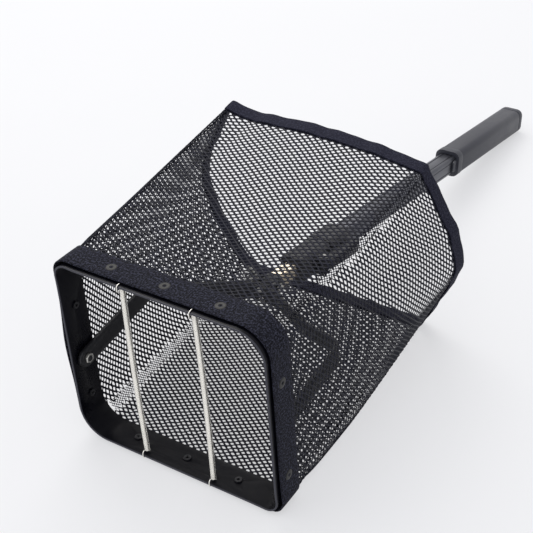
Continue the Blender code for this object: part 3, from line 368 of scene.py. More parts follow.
def make_drawn_group():
    """Lines along Y in drawn tube and strip, and scuffs."""
    stretched = (1, 0.012, 1)
    scuff_scale = 45.0
    tree, entry, out = new_group("drawn_lines", SOLID_INPUTS)
    along = add(tree, "ShaderNodeVectorMath", {"operation": "MULTIPLY"}, {0: entry["Vector"], 1: stretched})
    lines = noise(tree, along.outputs[0], entry["Scale"], detail=4.0, roughness=0.7)
    scuffs = noise(tree, entry["Vector"], scuff_scale, detail=6.0, roughness=0.7)
    scuffs = spread(tree, scuffs, low=0.35, high=0.7)
    put_out_solid(tree, entry, out, blend(tree, lines, scuffs, first_share=0.6), lines)
    return tree


def make_weave_group():
    """Woven tape on a UV map in millimetres: ribs across it, yarns along it, fluff and wear."""
    wander, rib_height, crossing_height = 0.8, 0.22, 0.34
    tree, entry, out = new_group("woven_tape", TAPE_INPUTS)
    parts = add(tree, "ShaderNodeSeparateXYZ", None, {0: entry["Vector"]})
    wobble = noise(tree, entry["Vector"], scale=0.25, detail=2.0)
    moved = math_node(tree, "ADD", parts.outputs[0], math_node(tree, "MULTIPLY", wobble, wander))
    rib_turn = math_node(tree, "DIVIDE", moved, entry["Rib"])
    yarn_turn = math_node(tree, "DIVIDE", parts.outputs[1], entry["Yarn"])
    rib = math_node(tree, "SINE", math_node(tree, "MULTIPLY", rib_turn, 2 * math.pi))
    yarn = math_node(tree, "SINE", math_node(tree, "MULTIPLY", yarn_turn, 2 * math.pi))
    crossing = math_node(tree, "MULTIPLY", math_node(tree, "MULTIPLY", rib, yarn), crossing_height)
    weave = math_node(tree, "ADD", math_node(tree, "MULTIPLY", rib, rib_height), crossing)
    fluff = noise(tree, entry["Vector"], scale=0.55, detail=3.0, roughness=0.8)
    half_weave = math_node(tree, "MULTIPLY", spread(tree, weave, low=-0.6, high=0.6), 0.5)
    height = math_node(tree, "ADD", half_weave, spread(tree, fluff, low=0.46, high=0.62))
    colour = mixed(tree, spread(tree, height, low=0.30, high=1.5), entry["Dark"], entry["Light"])
    roughness = spread(tree, fluff, low=0.2, high=0.8, to_low=0.72, to_high=0.95)
    put_out(tree, out, colour, roughness, height)
    return tree


GRAIN = make_grain_group()
DRAWN = make_drawn_group()
WEAVE = make_weave_group()


def solid(scale, dark, light, smooth, rough):
    """The grain's or the drawn lines' size, and their two colours and roughnesses."""
    return {"Scale": scale, "Dark": shade(*dark), "Light": shade(*light), "Smooth": smooth, "Rough": rough}


def woven(rib, yarn, dark, light):
    """The weave's steps in millimetres and its two colours."""
    return {"Rib": rib, "Yarn": yarn, "Dark": shade(*dark), "Light": shade(*light)}


def finish(name, group, values, bump, depth, metallic=0.0, uv=None, **constants):
    """A material that takes its colour, roughness and height from a group."""
    material = bpy.data.materials.new(name)
    material.use_nodes = True
    tree = material.node_tree
    shader = tree.nodes["Principled BSDF"]
    if uv:
        vector = add(tree, "ShaderNodeUVMap", {"uv_map": uv}).outputs[0]
    else:
        vector = add(tree, "ShaderNodeTexCoord").outputs["Object"]
    pattern = add(tree, "ShaderNodeGroup", {"node_tree": group}, {"Vector": vector, **values})
    height = {"Strength": bump, "Distance": depth, "Height": pattern.outputs["Height"]}
    relief = add(tree, "ShaderNodeBump", None, height)
    tree.links.new(pattern.outputs["Color"], shader.inputs["Base Color"])
    tree.links.new(pattern.outputs["Roughness"], shader.inputs["Roughness"])
    tree.links.new(relief.outputs[0], shader.inputs["Normal"])
    shader.inputs["Metallic"].default_value = metallic
    for key, value in constants.items():
        shader.inputs[key.replace("_", " ")].default_value = value
    return material


def edge_highlight_line(material, front, colour):
    """Paints a lighter line along the strip's cut edge, over the first part of a millimetre behind its
    front: a painted highlight.
    """
    painted, highlight_fade = 0.0006, 0.0009
    tree = material.node_tree
    shader = tree.nodes["Principled BSDF"]
    body_colour = shader.inputs["Base Color"].links[0].from_socket
    place = add(tree, "ShaderNodeTexCoord").outputs["Object"]
    along = add(tree, "ShaderNodeSeparateXYZ", None, {0: place}).outputs[1]
    # How much of the painted highlight's colour each place on the cut edge takes
    highlight_share = spread(tree, along, front + highlight_fade, front + painted)
    tree.links.new(mixed(tree, highlight_share, body_colour, colour), shader.inputs["Base Color"])


HOOP_LACQUER = finish(
    "hoop_lacquer",
    GRAIN,
    solid(260.0, (0.002, 0.002, 0.004), (0.006, 0.006, 0.009), smooth=0.22, rough=0.40),
    bump=0.08,
    depth=0.0002,
    Specular_IOR_Level=0.14,
)
# A painted highlight: a lighter line along the hoop band's front edge
edge_highlight_line(HOOP_LACQUER, -MIDDLE_Y, shade(0.050, 0.050, 0.062))
WEBBING_CLOTH = finish(
    "webbing_cloth",
    WEAVE,
    woven(1.9, 0.8, (0.0, 0.0, 0.002), (0.062, 0.064, 0.096)),
    bump=0.6,
    depth=0.0003,
    uv="tape",
    Specular_IOR_Level=0.15,
)
BINDING_CLOTH = finish(
    "binding_cloth",
    WEAVE,
    woven(1.5, 0.9, (0.008, 0.008, 0.018), (0.044, 0.045, 0.070)),
    bump=0.6,
    depth=0.0003,
    uv="tape",
    Specular_IOR_Level=0.15,
)
NET_YARN = finish(
    "net_yarn",
    GRAIN,
    solid(1700.0, (0.001, 0.001, 0.004), (0.012, 0.013, 0.026), smooth=0.45, rough=0.75),
    bump=0.5,
    depth=0.0002,
    Specular_IOR_Level=0.25,
)
BLACK_COATING = finish(
    "black_coating",
    GRAIN,
    solid(700.0, (0.008, 0.008, 0.010), (0.022, 0.022, 0.026), smooth=0.28, rough=0.48),
    bump=0.12,
    depth=0.0002,
    metallic=0.3,
)
RIVET_COATING = finish(
    "rivet_coating",
    GRAIN,
    solid(900.0, (0.006, 0.006, 0.006), (0.024, 0.023, 0.022), smooth=0.32, rough=0.52),
    bump=0.15,
    depth=0.0002,
    metallic=0.3,
    Specular_IOR_Level=0.3,
)
ZINC = finish(
    "bright_zinc",
    GRAIN,
    solid(500.0, (0.42, 0.41, 0.39), (0.68, 0.67, 0.64), smooth=0.22, rough=0.42),
    bump=0.1,
    depth=0.0002,
    metallic=1.0,
)
SPRING_WIRE_FINISH = finish(
    "spring_wire",
    GRAIN,
    solid(800.0, (0.80, 0.78, 0.73), (0.95, 0.93, 0.88), smooth=0.10, rough=0.20),
    bump=0.03,
    depth=0.0001,
    metallic=1.0,
)
PALE_TUBE = finish(
    "pale_tube",
    DRAWN,
    solid(900.0, (0.62, 0.52, 0.38), (0.88, 0.80, 0.66), smooth=0.22, rough=0.42),
    bump=0.08,
    depth=0.0001,
    metallic=1.0,
)
BLACK_TUBE = finish(
    "black_tube",
    DRAWN,
    solid(700.0, (0.045, 0.046, 0.054), (0.125, 0.128, 0.150), smooth=0.24, rough=0.42),
    bump=0.1,
    depth=0.0001,
    metallic=0.7,
)
MATT_NYLON = finish(
    "matt_nylon",
    GRAIN,
    solid(1100.0, (0.012, 0.012, 0.014), (0.030, 0.030, 0.034), smooth=0.42, rough=0.62),
    bump=0.2,
    depth=0.0002,
)
GLOSS_NYLON = finish(
    "gloss_nylon",
    GRAIN,
    solid(500.0, (0.008, 0.008, 0.009), (0.018, 0.018, 0.020), smooth=0.16, rough=0.32),
    bump=0.08,
    depth=0.0002,
)
GRIP_MOULDING = finish(
    "grip_moulding",
    GRAIN,
    solid(1300.0, (0.020, 0.021, 0.029), (0.036, 0.037, 0.050), smooth=0.38, rough=0.55),
    bump=0.3,
    depth=0.0002,
)


# Rigid pieces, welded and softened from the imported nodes

# Body by body, each node's material, its slot and the width of its softened edges in metres
FINISHES = {
    "hoop": {
        "hoop_band": (HOOP_LACQUER, "hoop_lacquer", 0.0003),
        "yoke_bolt_left": (BLACK_COATING, "black_steel", 0.0003),
        "yoke_bolt_right": (BLACK_COATING, "black_steel", 0.0003),
        "yoke_washer_left": (ZINC, "bright_steel", 0.0001),
        "yoke_washer_right": (ZINC, "bright_steel", 0.0001),
        "yoke_nut_left": (ZINC, "bright_steel", 0.0003),
        "yoke_nut_right": (ZINC, "bright_steel", 0.0003),
    },
    "yoke": {
        "yoke": (BLACK_COATING, "black_steel", 0.0004),
        "hub_bracket": (BLACK_COATING, "black_steel", 0.0003),
        "hub_rivet_upper": (ZINC, "bright_steel", 0.0002),
        "hub_rivet_lower": (ZINC, "bright_steel", 0.0002),
        "hub_bolt": (ZINC, "bright_steel", 0.0002),
        "hub_wing_nut": (ZINC, "bright_steel", 0.0003),
    },
    "handle_inner": {
        "tube_socket": (MATT_NYLON, "black_nylon", 0.0003),
        "socket_pin": (ZINC, "bright_steel", 0.0001),
        "inner_tube": (PALE_TUBE, "pale_aluminium", 0.0002),
        "guide_bush": (MATT_NYLON, "black_nylon", 0.0002),
    },
    "handle_outer": {
        "lock_sleeve": (MATT_NYLON, "black_nylon", 0.0004),
        "lock_ring": (GLOSS_NYLON, "gloss_nylon", 0.0002),
        "lock_clamp": (MATT_NYLON, "black_nylon", 0.0004),
        "lever_pin": (ZINC, "bright_steel", 0.0001),
        "outer_tube": (BLACK_TUBE, "black_aluminium", 0.0001),
        "grip_collar": (GRIP_MOULDING, "grip_polymer", 0.0003),
        "grip": (GRIP_MOULDING, "grip_polymer", 0.0003),
        "grip_cap": (GRIP_MOULDING, "grip_polymer", 0.0002),
    },
    "lever": {
        "lock_lever": (MATT_NYLON, "black_nylon", 0.0004),
    },
}

# The hoop's top left and bottom right corners, by the signs of X and of the height over the middle
TIGHT_CORNERS = ((-1, 1), (1, -1))
SAME_PLACE = 0.00001
SAME_LAYER = 0.0002


def past_centre(x, z, side, level):
    """How far a place is outwards, and how far up or down, of the centre of a corner's bend."""
    across = x * side - HOOP_WIDTH / 2 + HOOP_CORNER
    up = (z - HOOP_HEIGHT / 2) * level - HOOP_HEIGHT / 2 + HOOP_CORNER
    return across, up


def tightened(x, z):
    """Moves a place round the hoop's top left or bottom right corner out to their tighter bend."""
    for side, level in TIGHT_CORNERS:
        across, up = past_centre(x, z, side, level)
        if across <= 0 or up <= 0:
            continue
        far = math.hypot(across, up)
        across, up = across / far, up / far
        shift = HOOP_CORNER - TIGHT_CORNER
        reach = HOOP_CORNER / max(across, up)
        if min(across, up) * reach > shift:
            along = (across + up) * shift
            reach = along + math.sqrt(along**2 - 2 * shift**2 + TIGHT_CORNER**2)
        push = reach - HOOP_CORNER
        return x + side * across * push, z + level * up * push
    return x, z


def corner_distance(place):
    """How far a place in one of the tight corners is from the centre of its packed bend, or None."""
    for side, level in TIGHT_CORNERS:
        across, up = past_centre(place.x, place.z, side, level)
        if across > -SAME_PLACE and up > -SAME_PLACE:
            return math.hypot(across, up)
    return None


def select_bent_edges(mesh):
    """Selects the edges that run round the tight corners."""
    places = [vert.co for vert in mesh.vertices]
    for edge in mesh.edges:
        first, second = (places[index] for index in edge.vertices)
        far, further = corner_distance(first), corner_distance(second)
        bent = far is not None and further is not None and abs(far - further) < SAME_LAYER
        edge.select = bent and abs(first.y - second.y) < SAME_PLACE


def tighten_band(obj):
    """Bends two of the strip's corners more tightly, with finer steps round them."""
    layers = (HOOP_CORNER - BAND_INSET, HOOP_CORNER - BAND_INNER_INSET)
    bpy.ops.mesh.select_mode(type="EDGE")
    bpy.ops.mesh.select_all(action="DESELECT")
    bpy.ops.object.mode_set(mode="OBJECT")
    select_bent_edges(obj.data)
    bpy.ops.object.mode_set(mode="EDIT")
    bpy.ops.mesh.subdivide(number_cuts=3)
    bpy.ops.mesh.select_mode(type="VERT")
    bpy.ops.object.mode_set(mode="OBJECT")
    for vert in obj.data.vertices:
        far = corner_distance(vert.co)
        if far is None:
            continue
        layer = min(layers, key=lambda radius: abs(radius - far))
        side, level = TIGHT_CORNERS[0] if vert.co.x < 0 else TIGHT_CORNERS[1]
        centre_x = side * (HOOP_WIDTH / 2 - HOOP_CORNER)
        centre_z = HOOP_HEIGHT / 2 + level * (HOOP_HEIGHT / 2 - HOOP_CORNER)
        x = centre_x + (vert.co.x - centre_x) * layer / far
        z = centre_z + (vert.co.z - centre_z) * layer / far
        vert.co.x, vert.co.z = tightened(x, z)


def finished_copy(node, body, material, slot, edge, ending="finished"):
    """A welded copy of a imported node, its edges softened, which stands for the node."""
    obj = new_object(f"{node}_{ending}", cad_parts[node].data.copy())
    obj.data.materials.clear()
    obj.data.materials.append(material)
    select_only(obj)
    bpy.ops.mesh.customdata_custom_splitnormals_clear()
    bpy.ops.object.mode_set(mode="EDIT")
    bpy.ops.mesh.select_all(action="SELECT")
    bpy.ops.mesh.remove_doubles(threshold=MERGE_WITHIN)
    bpy.ops.mesh.dissolve_limited(angle_limit=math.radians(0.5))
    if node == "hoop_band":
        tighten_band(obj)
    select_only(obj)
    soften_edges(obj, edge)
    bpy.ops.object.shade_smooth_by_angle(angle=math.radians(32))
    ride(obj, body, slot, node)


for body, nodes in FINISHES.items():
    for node, (material, slot, edge) in nodes.items():
        finished_copy(node, body, material, slot, edge)


# The bag's form

# How far each long corner is drawn in by the taut net, from the top left clockwise, and how far round
# the bag a corner's drawing in and its fullness reach, in turns
CORNER_DRAWN = (0.0, 0.005, 0.0, 0.001)
DRAWN_REACH = 0.22
FULL_REACH = 0.13

# How far each side's middle stands out or in, from the top clockwise
SIDE_BOW = (-0.0035, 0.0015, 0.0012, 0.0025)

# Heights of the net's folds, how many gathers a side has, and how they fade as shares of its length
GATHER_HEIGHT = 0.0007
GATHERS = 17
GATHER_SHIFT = 0.3
CORNER_GATHER_HEIGHT = 0.0011
CORNER_GATHERS = 23
CORNER_GATHER_SLANT = 2
GATHER_START = 0.05
GATHER_FADE = 0.13
CORNER_REACH = 0.16
WAVE_HEIGHT = 0.0009
WAVES_ACROSS = 2.3
WAVES_BACK = 1.7
WAVE_SHIFT = 0.37

# How far two of its long corners stand out, and how that starts and fades
FULLNESS_START = 0.045
TOP_FULLNESS = 0.0062
TOP_FADE = 0.5
FOOT_FULLNESS = 0.0072
FOOT_FADE_FROM = 0.35
FOOT_FADE_POWER = 1.3


def smooth_path(points, share):
    """A point at a share of the way along a smooth curve through the points."""
    rounding = 1e-9
    steps = [0.0]
    for first, second in zip(points, points[1:]):
        steps.append(steps[-1] + math.dist(first, second))
    goal = share * steps[-1]
    part = max(index for index in range(len(points) - 1) if steps[index] <= goal + rounding)
    local = (goal - steps[part]) / (steps[part + 1] - steps[part])
    before = points[max(part - 1, 0)]
    start, end = points[part], points[part + 1]
    after = points[min(part + 2, len(points) - 1)]
    place = []
    for a, b, c, d in zip(before, start, end, after):
        bend = (2 * a - 5 * b + 4 * c - d) * local**2
        turn = (3 * b - a - 3 * c + d) * local**3
        place.append(0.5 * (2 * b + (c - a) * local + bend + turn))
    return Vector(place)


def hoop_point(turn, inset):
    """The hoop's outline at an inset: whole turns are its corners, clockwise from the top left."""
    side = int(turn) % 4
    share = turn - int(turn)
    radius = HOOP_CORNER - inset
    long_side = HOOP_HEIGHT if side % 2 else HOOP_WIDTH
    straight = long_side - 2 * HOOP_CORNER
    eighth = (HOOP_CORNER - NET_INSET) * math.pi / 4
    along = share * (straight + 2 * eighth) - eighth
    out = (HOOP_WIDTH if side % 2 else HOOP_HEIGHT) / 2 - inset
    if along < 0:
        angle = along / eighth * math.pi / 4
        flat = (-straight / 2 + radius * math.sin(angle), out - radius + radius * math.cos(angle))
    elif along > straight:
        angle = (along - straight) / eighth * math.pi / 4
        flat = (straight / 2 + radius * math.sin(angle), out - radius + radius * math.cos(angle))
    else:
        flat = (along - straight / 2, out)
    x, z = ((flat[0], flat[1]), (flat[1], -flat[0]), (-flat[0], -flat[1]), (-flat[1], flat[0]))[side]
    return Vector(tightened(x, z + HOOP_HEIGHT / 2))


def rear_point(turn):
    side = int(turn) % 4
    return smooth_path((REAR_TOP, REAR_RIGHT, REAR_FOOT, REAR_LEFT)[side], turn - int(turn))


def edge_normal(edge, turn):
    """The outward direction, in X and Z, of an outline at a turn."""
    step = 0.004
    along = edge((turn + step) % 4) - edge((turn - step) % 4)
    return Vector((-along.y, along.x)).normalized()


def fold(turn, back):
    """How far the net stands out of its straight form: bowed sides, gathers at the hoop, soft waves."""
    side = int(turn % 4)
    share = turn % 1
    middle = math.sin(math.pi * back)
    across = math.sin(math.pi * share)
    corner = math.exp(-((min(share, 1 - share) / CORNER_REACH) ** 2))
    gather = math.exp(-back / GATHER_FADE) * min(1.0, back / GATHER_START)
    rise = SIDE_BOW[side] * middle * across
    gathers = math.sin(2 * math.pi * (share * GATHERS + GATHER_SHIFT * side))
    rise += GATHER_HEIGHT * gather * gathers * across
    pleat = math.sin(2 * math.pi * (turn * CORNER_GATHERS + back * CORNER_GATHER_SLANT))
    rise += CORNER_GATHER_HEIGHT * gather * corner * pleat
    if side != 2:
        wave = math.sin(2 * math.pi * (share * WAVES_ACROSS + back * WAVES_BACK + side * WAVE_SHIFT))
        rise += WAVE_HEIGHT * middle * across * wave
    return rise


def corner_fullness(corner, back):
    """How far the net's top left and bottom right corners stand out, soon after they leave the hoop."""
    start = 1 - math.exp(-back / FULLNESS_START)
    held = (HOOP_CORNER - TIGHT_CORNER) * (math.sqrt(2) - 1) * (1 - back)
    if corner == 0:
        full = TOP_FULLNESS * start * math.exp(-back / TOP_FADE) * math.sqrt(max(1 - back, 0))
        return max(0.0, full - held)
    if corner == 2:
        fade = max(0.0, (back - FOOT_FADE_FROM) / (1 - FOOT_FADE_FROM)) ** FOOT_FADE_POWER
        return max(0.0, FOOT_FULLNESS * start * (1 - fade) - held)
    return 0.0


def bag_point(turn, station, out=0.0, folds=True):
    """A point of the bag: station 0 is the hem's front, 1 the hoop's rear, 2 the rear opening."""
    turn %= 4
    front = hoop_point(turn, NET_INSET - out)
    if station <= 1:
        return Vector((front.x, HEM_FRONT + (HEM_REAR - HEM_FRONT) * station - MIDDLE_Y, front.y))
    back = station - 1
    rear = rear_point(turn) + edge_normal(rear_point, turn) * out
    start = Vector((front.x, HEM_REAR, front.y))
    end = Vector((rear.x, MOUTH_REAR_DEPTH - REAR_LEAN * rear.y, rear.y))
    point = start.lerp(end, back)
    if folds:
        normal = edge_normal(lambda t: hoop_point(t, NET_INSET).lerp(rear_point(t), back), turn)
        pull = min(turn % 1, 1 - turn % 1)
        corner = round(turn) % 4
        drawn = math.exp(-((pull / DRAWN_REACH) ** 2)) * math.sin(math.pi * back) * CORNER_DRAWN[corner]
        full = math.exp(-((pull / FULL_REACH) ** 2)) * corner_fullness(corner, back) / math.sqrt(2)
        point += Vector((normal.x, 0, normal.y)) * fold(turn, back)
        point.x += math.copysign(full - drawn, point.x)
        point.z += full if corner < 2 else -full
        point.z = max(point.z, NET_LOWEST)
    point.y -= MIDDLE_Y
    return point


class Surface:
    """Millimetre places on a panel: u across from its centre line, v along from the hem's front."""

    def __init__(self, centre, half, out):
        steps = 40
        self.centre, self.half, self.out = centre, half, out
        self.stations = [step / steps * 2 for step in range(steps + 1)]
        line = [bag_point(centre, station, folds=False) for station in self.stations]
        self.lengths = [0.0]
        for first, second in zip(line, line[1:]):
            self.lengths.append(self.lengths[-1] + (second - first).length * 1000)
        self.length = self.lengths[-1]
        self.widths = [self.measure(station) for station in self.stations]

    def measure(self, station):
        steps = 24
        turns = [self.centre - self.half + 2 * self.half * step / steps for step in range(steps + 1)]
        row = [bag_point(turn, station, folds=False) for turn in turns]
        return sum((second - first).length for first, second in zip(row, row[1:])) * 1000

    def width(self, v):
        return float(np.interp(v, self.lengths, self.widths))

    def point(self, u, v, lift=0.0):
        station = float(np.interp(v, self.lengths, self.stations))
        turn = self.centre + 2 * self.half * u / self.width(v)
        return bag_point(turn, station, self.out + lift)


# Knitted net

# Half diagonals of a panel's cell, across and along it, in millimetres
PANELS = {
    "top": ((3.7, 0.0), (0.0, 2.56)),
    "right": ((4.385, 1.16), (-0.365, 2.33)),
    "bottom": ((3.7, 0.0), (0.0, 2.56)),
    "left": ((4.1, -0.6), (0.2, 2.45)),
}
PANEL_FRONT_MARGIN = 1.0
PANEL_REAR_MARGIN = 2.5
PANEL_SIDE_MARGIN = 0.6
SEAMS = ("top_left", "top_right", "bottom_right", "bottom_left")
SEAM_CELL = ((1.15, 0.55), (-0.25, 1.7))
SEAM_WALL = 0.0009
SEAM_LIFT = 0.0007
SEAM_HALF_TURN = 0.0285
SEAM_FRONT_MARGIN = 21.0
SEAM_REAR_MARGIN = 4.0
KNOT_WANDER = 0.13
PANEL_SEED = 1
SEAM_SEED = 11

# A hole's half width and its end's half height, then its half height and its end's half width, all as
# shares of the half diagonals
PANEL_HOLE = (0.47, 0.12, 0.47, 0.13)
SEAM_HOLE = (0.50, 0.16, 0.60, 0.2)


def diamond_cells(surface, across, along, limits, inset):
    """The cells that lie whole on a surface: each one's middle, and its corners' keys and places."""
    first, second = across + along, along - across
    inverse = np.linalg.inv(np.array([first, second]).T)
    low, high = limits
    widest = max(surface.widths) / 2
    reach = [inverse @ np.array((u, v)) for u in (-widest, widest) for v in (low, high)]
    i_low, i_high = int(min(p[0] for p in reach)) - 1, int(max(p[0] for p in reach)) + 2
    j_low, j_high = int(min(p[1] for p in reach)) - 1, int(max(p[1] for p in reach)) + 2
    cells = []
    for i in range(i_low, i_high):
        for j in range(j_low, j_high):
            keys = [(2 * i + p, 2 * j + q) for p, q in ((1, -1), (1, 1), (-1, 1), (-1, -1))]
            places = [key[0] * first / 2 + key[1] * second / 2 for key in keys]
            if all(low <= v <= high and abs(u) <= surface.width(v) / 2 - inset for u, v in places):
                cells.append((i * first + j * second, keys, places))
    return cells


def knots(cells, seed):
    """Each cell corner's key and place, moved a little at random."""
    jitter = random.Random(seed)
    spots = {}
    for _, keys, places in cells:
        for key, place in zip(keys, places):
            if key not in spots:
                wander = [jitter.uniform(-KNOT_WANDER, KNOT_WANDER) for _ in range(2)]
                spots[key] = place + np.array(wander)
    return spots


def netting(name, surface, half_diagonals, hole, thread, limits, inset, seed):
    """One closed mesh of diamond cells with a rounded hole each, thickest at the knots."""
    across, along = np.array(half_diagonals[0]), np.array(half_diagonals[1])
    cells = diamond_cells(surface, across, along, limits, inset)
    wide, slim, tall, short = hole
    hole_ends = (
        ((wide, -slim), (wide, slim)),
        ((short, tall), (-short, tall)),
        ((-wide, slim), (-wide, -slim)),
        ((-short, -tall), (short, -tall)),
    )
    points, knot_layers = [], {}
    for key, place in knots(cells, seed).items():
        knot_layers[key] = (len(points), len(points) + 1)
        points.append(surface.point(*place, thread / 2))
        points.append(surface.point(*place, -thread / 2))
    faces, open_sides = [], {}
    for middle, keys, _ in cells:
        ends = []
        for end in hole_ends:
            ends.append((len(points), len(points) + 1))
            points.extend(surface.point(*(middle + across * s + along * t)) for s, t in end)
        for number in range(4):
            after = (number + 1) % 4
            start, stop = ends[number], ends[after]
            for layer in (0, 1):
                here, there = knot_layers[keys[number]][layer], knot_layers[keys[after]][layer]
                thread_face = (here, there, stop[0], start[1])
                knot_face = (here, start[1], start[0])
                faces.append(thread_face[:: 1 - 2 * layer])
                faces.append(knot_face[:: 1 - 2 * layer])
            if (keys[after], keys[number]) in open_sides:
                del open_sides[(keys[after], keys[number])]
            else:
                open_sides[(keys[number], keys[after])] = True
    for side in open_sides:
        here, there = knot_layers[side[0]], knot_layers[side[1]]
        faces.append((there[0], here[0], here[1], there[1]))
    mesh = bpy.data.meshes.new(name)
    mesh.from_pydata([tuple(point) for point in points], [], faces)
    mesh.materials.append(NET_YARN)
    mesh.shade_smooth()
    return new_object(name, mesh)


def hang(net, slot, node):
    ride(net, "hoop", slot, node)


def make_panels():
    for side, (label, cell) in enumerate(PANELS.items()):
        surface = Surface(centre=side + 0.5, half=0.5, out=0.0)
        limits = (PANEL_FRONT_MARGIN, surface.length - PANEL_REAR_MARGIN)
        name = f"net_{label}_knit"
        seed = PANEL_SEED + side
        net = netting(name, surface, cell, PANEL_HOLE, NET_WALL, limits, PANEL_SIDE_MARGIN, seed)
        hang(net, "net", f"net_{label}")


def make_seams():
    for corner, label in enumerate(SEAMS):
        surface = Surface(centre=corner + 4.0, half=SEAM_HALF_TURN, out=SEAM_LIFT)
        limits = (SEAM_FRONT_MARGIN, surface.length - SEAM_REAR_MARGIN)
        name = f"seam_{label}_knit"
        seed = SEAM_SEED + corner
        net = netting(name, surface, SEAM_CELL, SEAM_HOLE, SEAM_WALL, limits, 0.0, seed)
        hang(net, "seam_cloth", f"seam_{label}")


make_panels()
make_seams()


# Webbing round the hoop and binding round the rear opening

# Where the webbing stands off the band, over the left bolt's head and two corners, and where it runs
# nearer the hoop's front: place and reach in turns, and how far in metres
WEBBING_SLACK = ((3.52, 0.19, 0.0030), (0, 0.11, 0.0010), (2, 0.11, 0.0010))
WEBBING_AHEAD = (3.2, 0.9, 0.0022)
REAR_SLACK_LOST = 0.5

# The binding's ripples: height in metres, how many a side has, and where they start
RIPPLES = ((0.0004, 5.5, 0), (0.0003, 9.2, 1))
RIPPLE_STRETCH = 12
WEBBING_STEPS = 64
BINDING_WIDTH = 0.0130
BINDING_WALL = 0.0010
BINDING_GAP = 0.0005
BINDING_STEPS = 48
TAPE_EDGE = 0.0004
CORNER_CROWDING = 0.07


def tape(name, rings, material, widths):
    """A closed tape through rings of points, with a UV map in millimetres along and across it."""
    shape = bmesh.new()
    uv_map = shape.loops.layers.uv.new("tape")
    grid = [[shape.verts.new(point) for point in ring] for ring in rings]
    count = len(rings[0])
    along = [0.0]
    for first, second in zip(rings, rings[1:] + rings[:1]):
        along.append(along[-1] + (second[0] - first[0]).length * 1000)
    for row in range(len(grid)):
        here, after = grid[row], grid[(row + 1) % len(grid)]
        for column in range(count):
            beside = (column + 1) % count
            face = shape.faces.new((here[column], here[beside], after[beside], after[column]))
            spots = (
                (along[row], widths[column]),
                (along[row], widths[column + 1]),
                (along[row + 1], widths[column + 1]),
                (along[row + 1], widths[column]),
            )
            for corner, spot in zip(face.loops, spots):
                corner[uv_map].uv = spot
    bmesh.ops.recalc_face_normals(shape, faces=shape.faces)
    mesh = bpy.data.meshes.new(name)
    shape.to_mesh(mesh)
    shape.free()
    mesh.materials.append(material)
    obj = new_object(name, mesh)
    select_only(obj)
    bpy.ops.object.shade_smooth_by_angle(angle=math.radians(50))
    return obj


def section_widths(section):
    """Distances round a section in millimetres, from its first point back to it."""
    widths = [0.0]
    for first, second in zip(section, section[1:] + section[:1]):
        widths.append(widths[-1] + math.dist(first, second) * 1000)
    return widths


def turns_round(steps):
    """Turns round the whole bag, with steps on each side that crowd together at its corners."""
    shares = []
    for side in range(4):
        for step in range(steps):
            even = step / steps
            shares.append(side + even - CORNER_CROWDING * math.sin(2 * math.pi * even))
    return [share % 4 for share in shares]


def near(turn, place, reach):
    """One at a place round the hoop, fading to nothing within a few reaches of it."""
    apart = abs((turn - place + 2) % 4 - 2)
    return math.exp(-((apart / reach) ** 2))


def webbing_slack(turn):
    return sum(height * near(turn, place, reach) for place, reach, height in WEBBING_SLACK)


def make_webbing():
    """Webbing round the band, with less slack towards its rear edge."""
    wall, width, edge = WEBBING_WALL, WEBBING_WIDTH, TAPE_EDGE
    hollow = 0.00004
    section = [
        (0.0, edge),
        (edge, 0.0),
        (width * 0.25, 0.0),
        (width * 0.5, hollow),
        (width * 0.75, 0.0),
        (width - edge, 0.0),
        (width, edge),
        (width, wall - edge),
        (width - edge, wall),
        (width * 0.5, wall),
        (edge, wall),
        (0.0, wall - edge),
    ]
    place_ahead, reach_ahead, most_ahead = WEBBING_AHEAD
    rings = []
    for turn in turns_round(WEBBING_STEPS):
        out = edge_normal(lambda place: hoop_point(place, 0.0), turn) * webbing_slack(turn)
        front = WEBBING_FRONT - most_ahead * near(turn, place_ahead, reach_ahead)
        ring = []
        for ahead, inset in section:
            place = hoop_point(turn, inset)
            slack = 1 - REAR_SLACK_LOST * (ahead / width) ** 2
            height = max(place.y + out.y * slack, TAPE_LOWEST + inset)
            ring.append(Vector((place.x + out.x * slack, front + ahead - MIDDLE_Y, height)))
        rings.append(ring)
    obj = tape("hoop_webbing_woven", rings, WEBBING_CLOTH, section_widths(section))
    ride(obj, "hoop", "webbing", "hoop_webbing")


def binding_section():
    """The folded tape's section round the net's edge, as distances past the edge and outwards."""
    width, wall, gap, edge = BINDING_WIDTH, BINDING_WALL, BINDING_GAP, TAPE_EDGE
    bend, half_bend = 0.0012, 0.0006
    thin, bent, full = wall * 0.35, wall * 0.6, wall * 1.1
    return [
        (-width, gap + thin),
        (-width + edge, gap + wall),
        (-width * 0.5, gap + full),
        (-bend, gap + wall),
        (half_bend, gap + bent),
        (bend, 0.0),
        (half_bend, -gap - bent),
        (-bend, -gap - wall),
        (-width * 0.5, -gap - full),
        (-width + edge, -gap - wall),
        (-width, -gap - thin),
        (-width + edge, -gap),
        (-bend, -gap),
        (-edge, 0.0),
        (-bend, gap),
        (-width + edge, gap),
    ]


def ripple_height(turn):
    return sum(height * math.sin(turn * 2 * math.pi * count + start) for height, count, start in RIPPLES)


def make_binding():
    """Tape folded over the rear opening's edge. Its ripples don't lift it along its foot."""
    just_inside = 1.9
    section = binding_section()
    rings = []
    for turn in turns_round(BINDING_STEPS):
        edge = bag_point(turn, 2)
        along = (edge - bag_point(turn, just_inside)).normalized()
        normal = edge_normal(rear_point, turn)
        normal = Vector((normal.x, 0, normal.y))
        ripple = ripple_height(turn)
        lift = 0 if 2 <= turn <= 3 else ripple
        ring = []
        for ahead, out in section:
            place = edge + along * (ahead * (1 + RIPPLE_STRETCH * ripple)) + normal * (out + lift)
            place.z = max(place.z, TAPE_LOWEST)
            ring.append(place)
        rings.append(ring)
    obj = tape("rear_binding_folded", rings, BINDING_CLOTH, section_widths(section))
    ride(obj, "hoop", "webbing", "rear_binding")


make_webbing()
make_binding()


# Coil springs across the mouth

COIL_TURNS = 163
COIL_STEPS = 12
WIRE_SIDES = 6

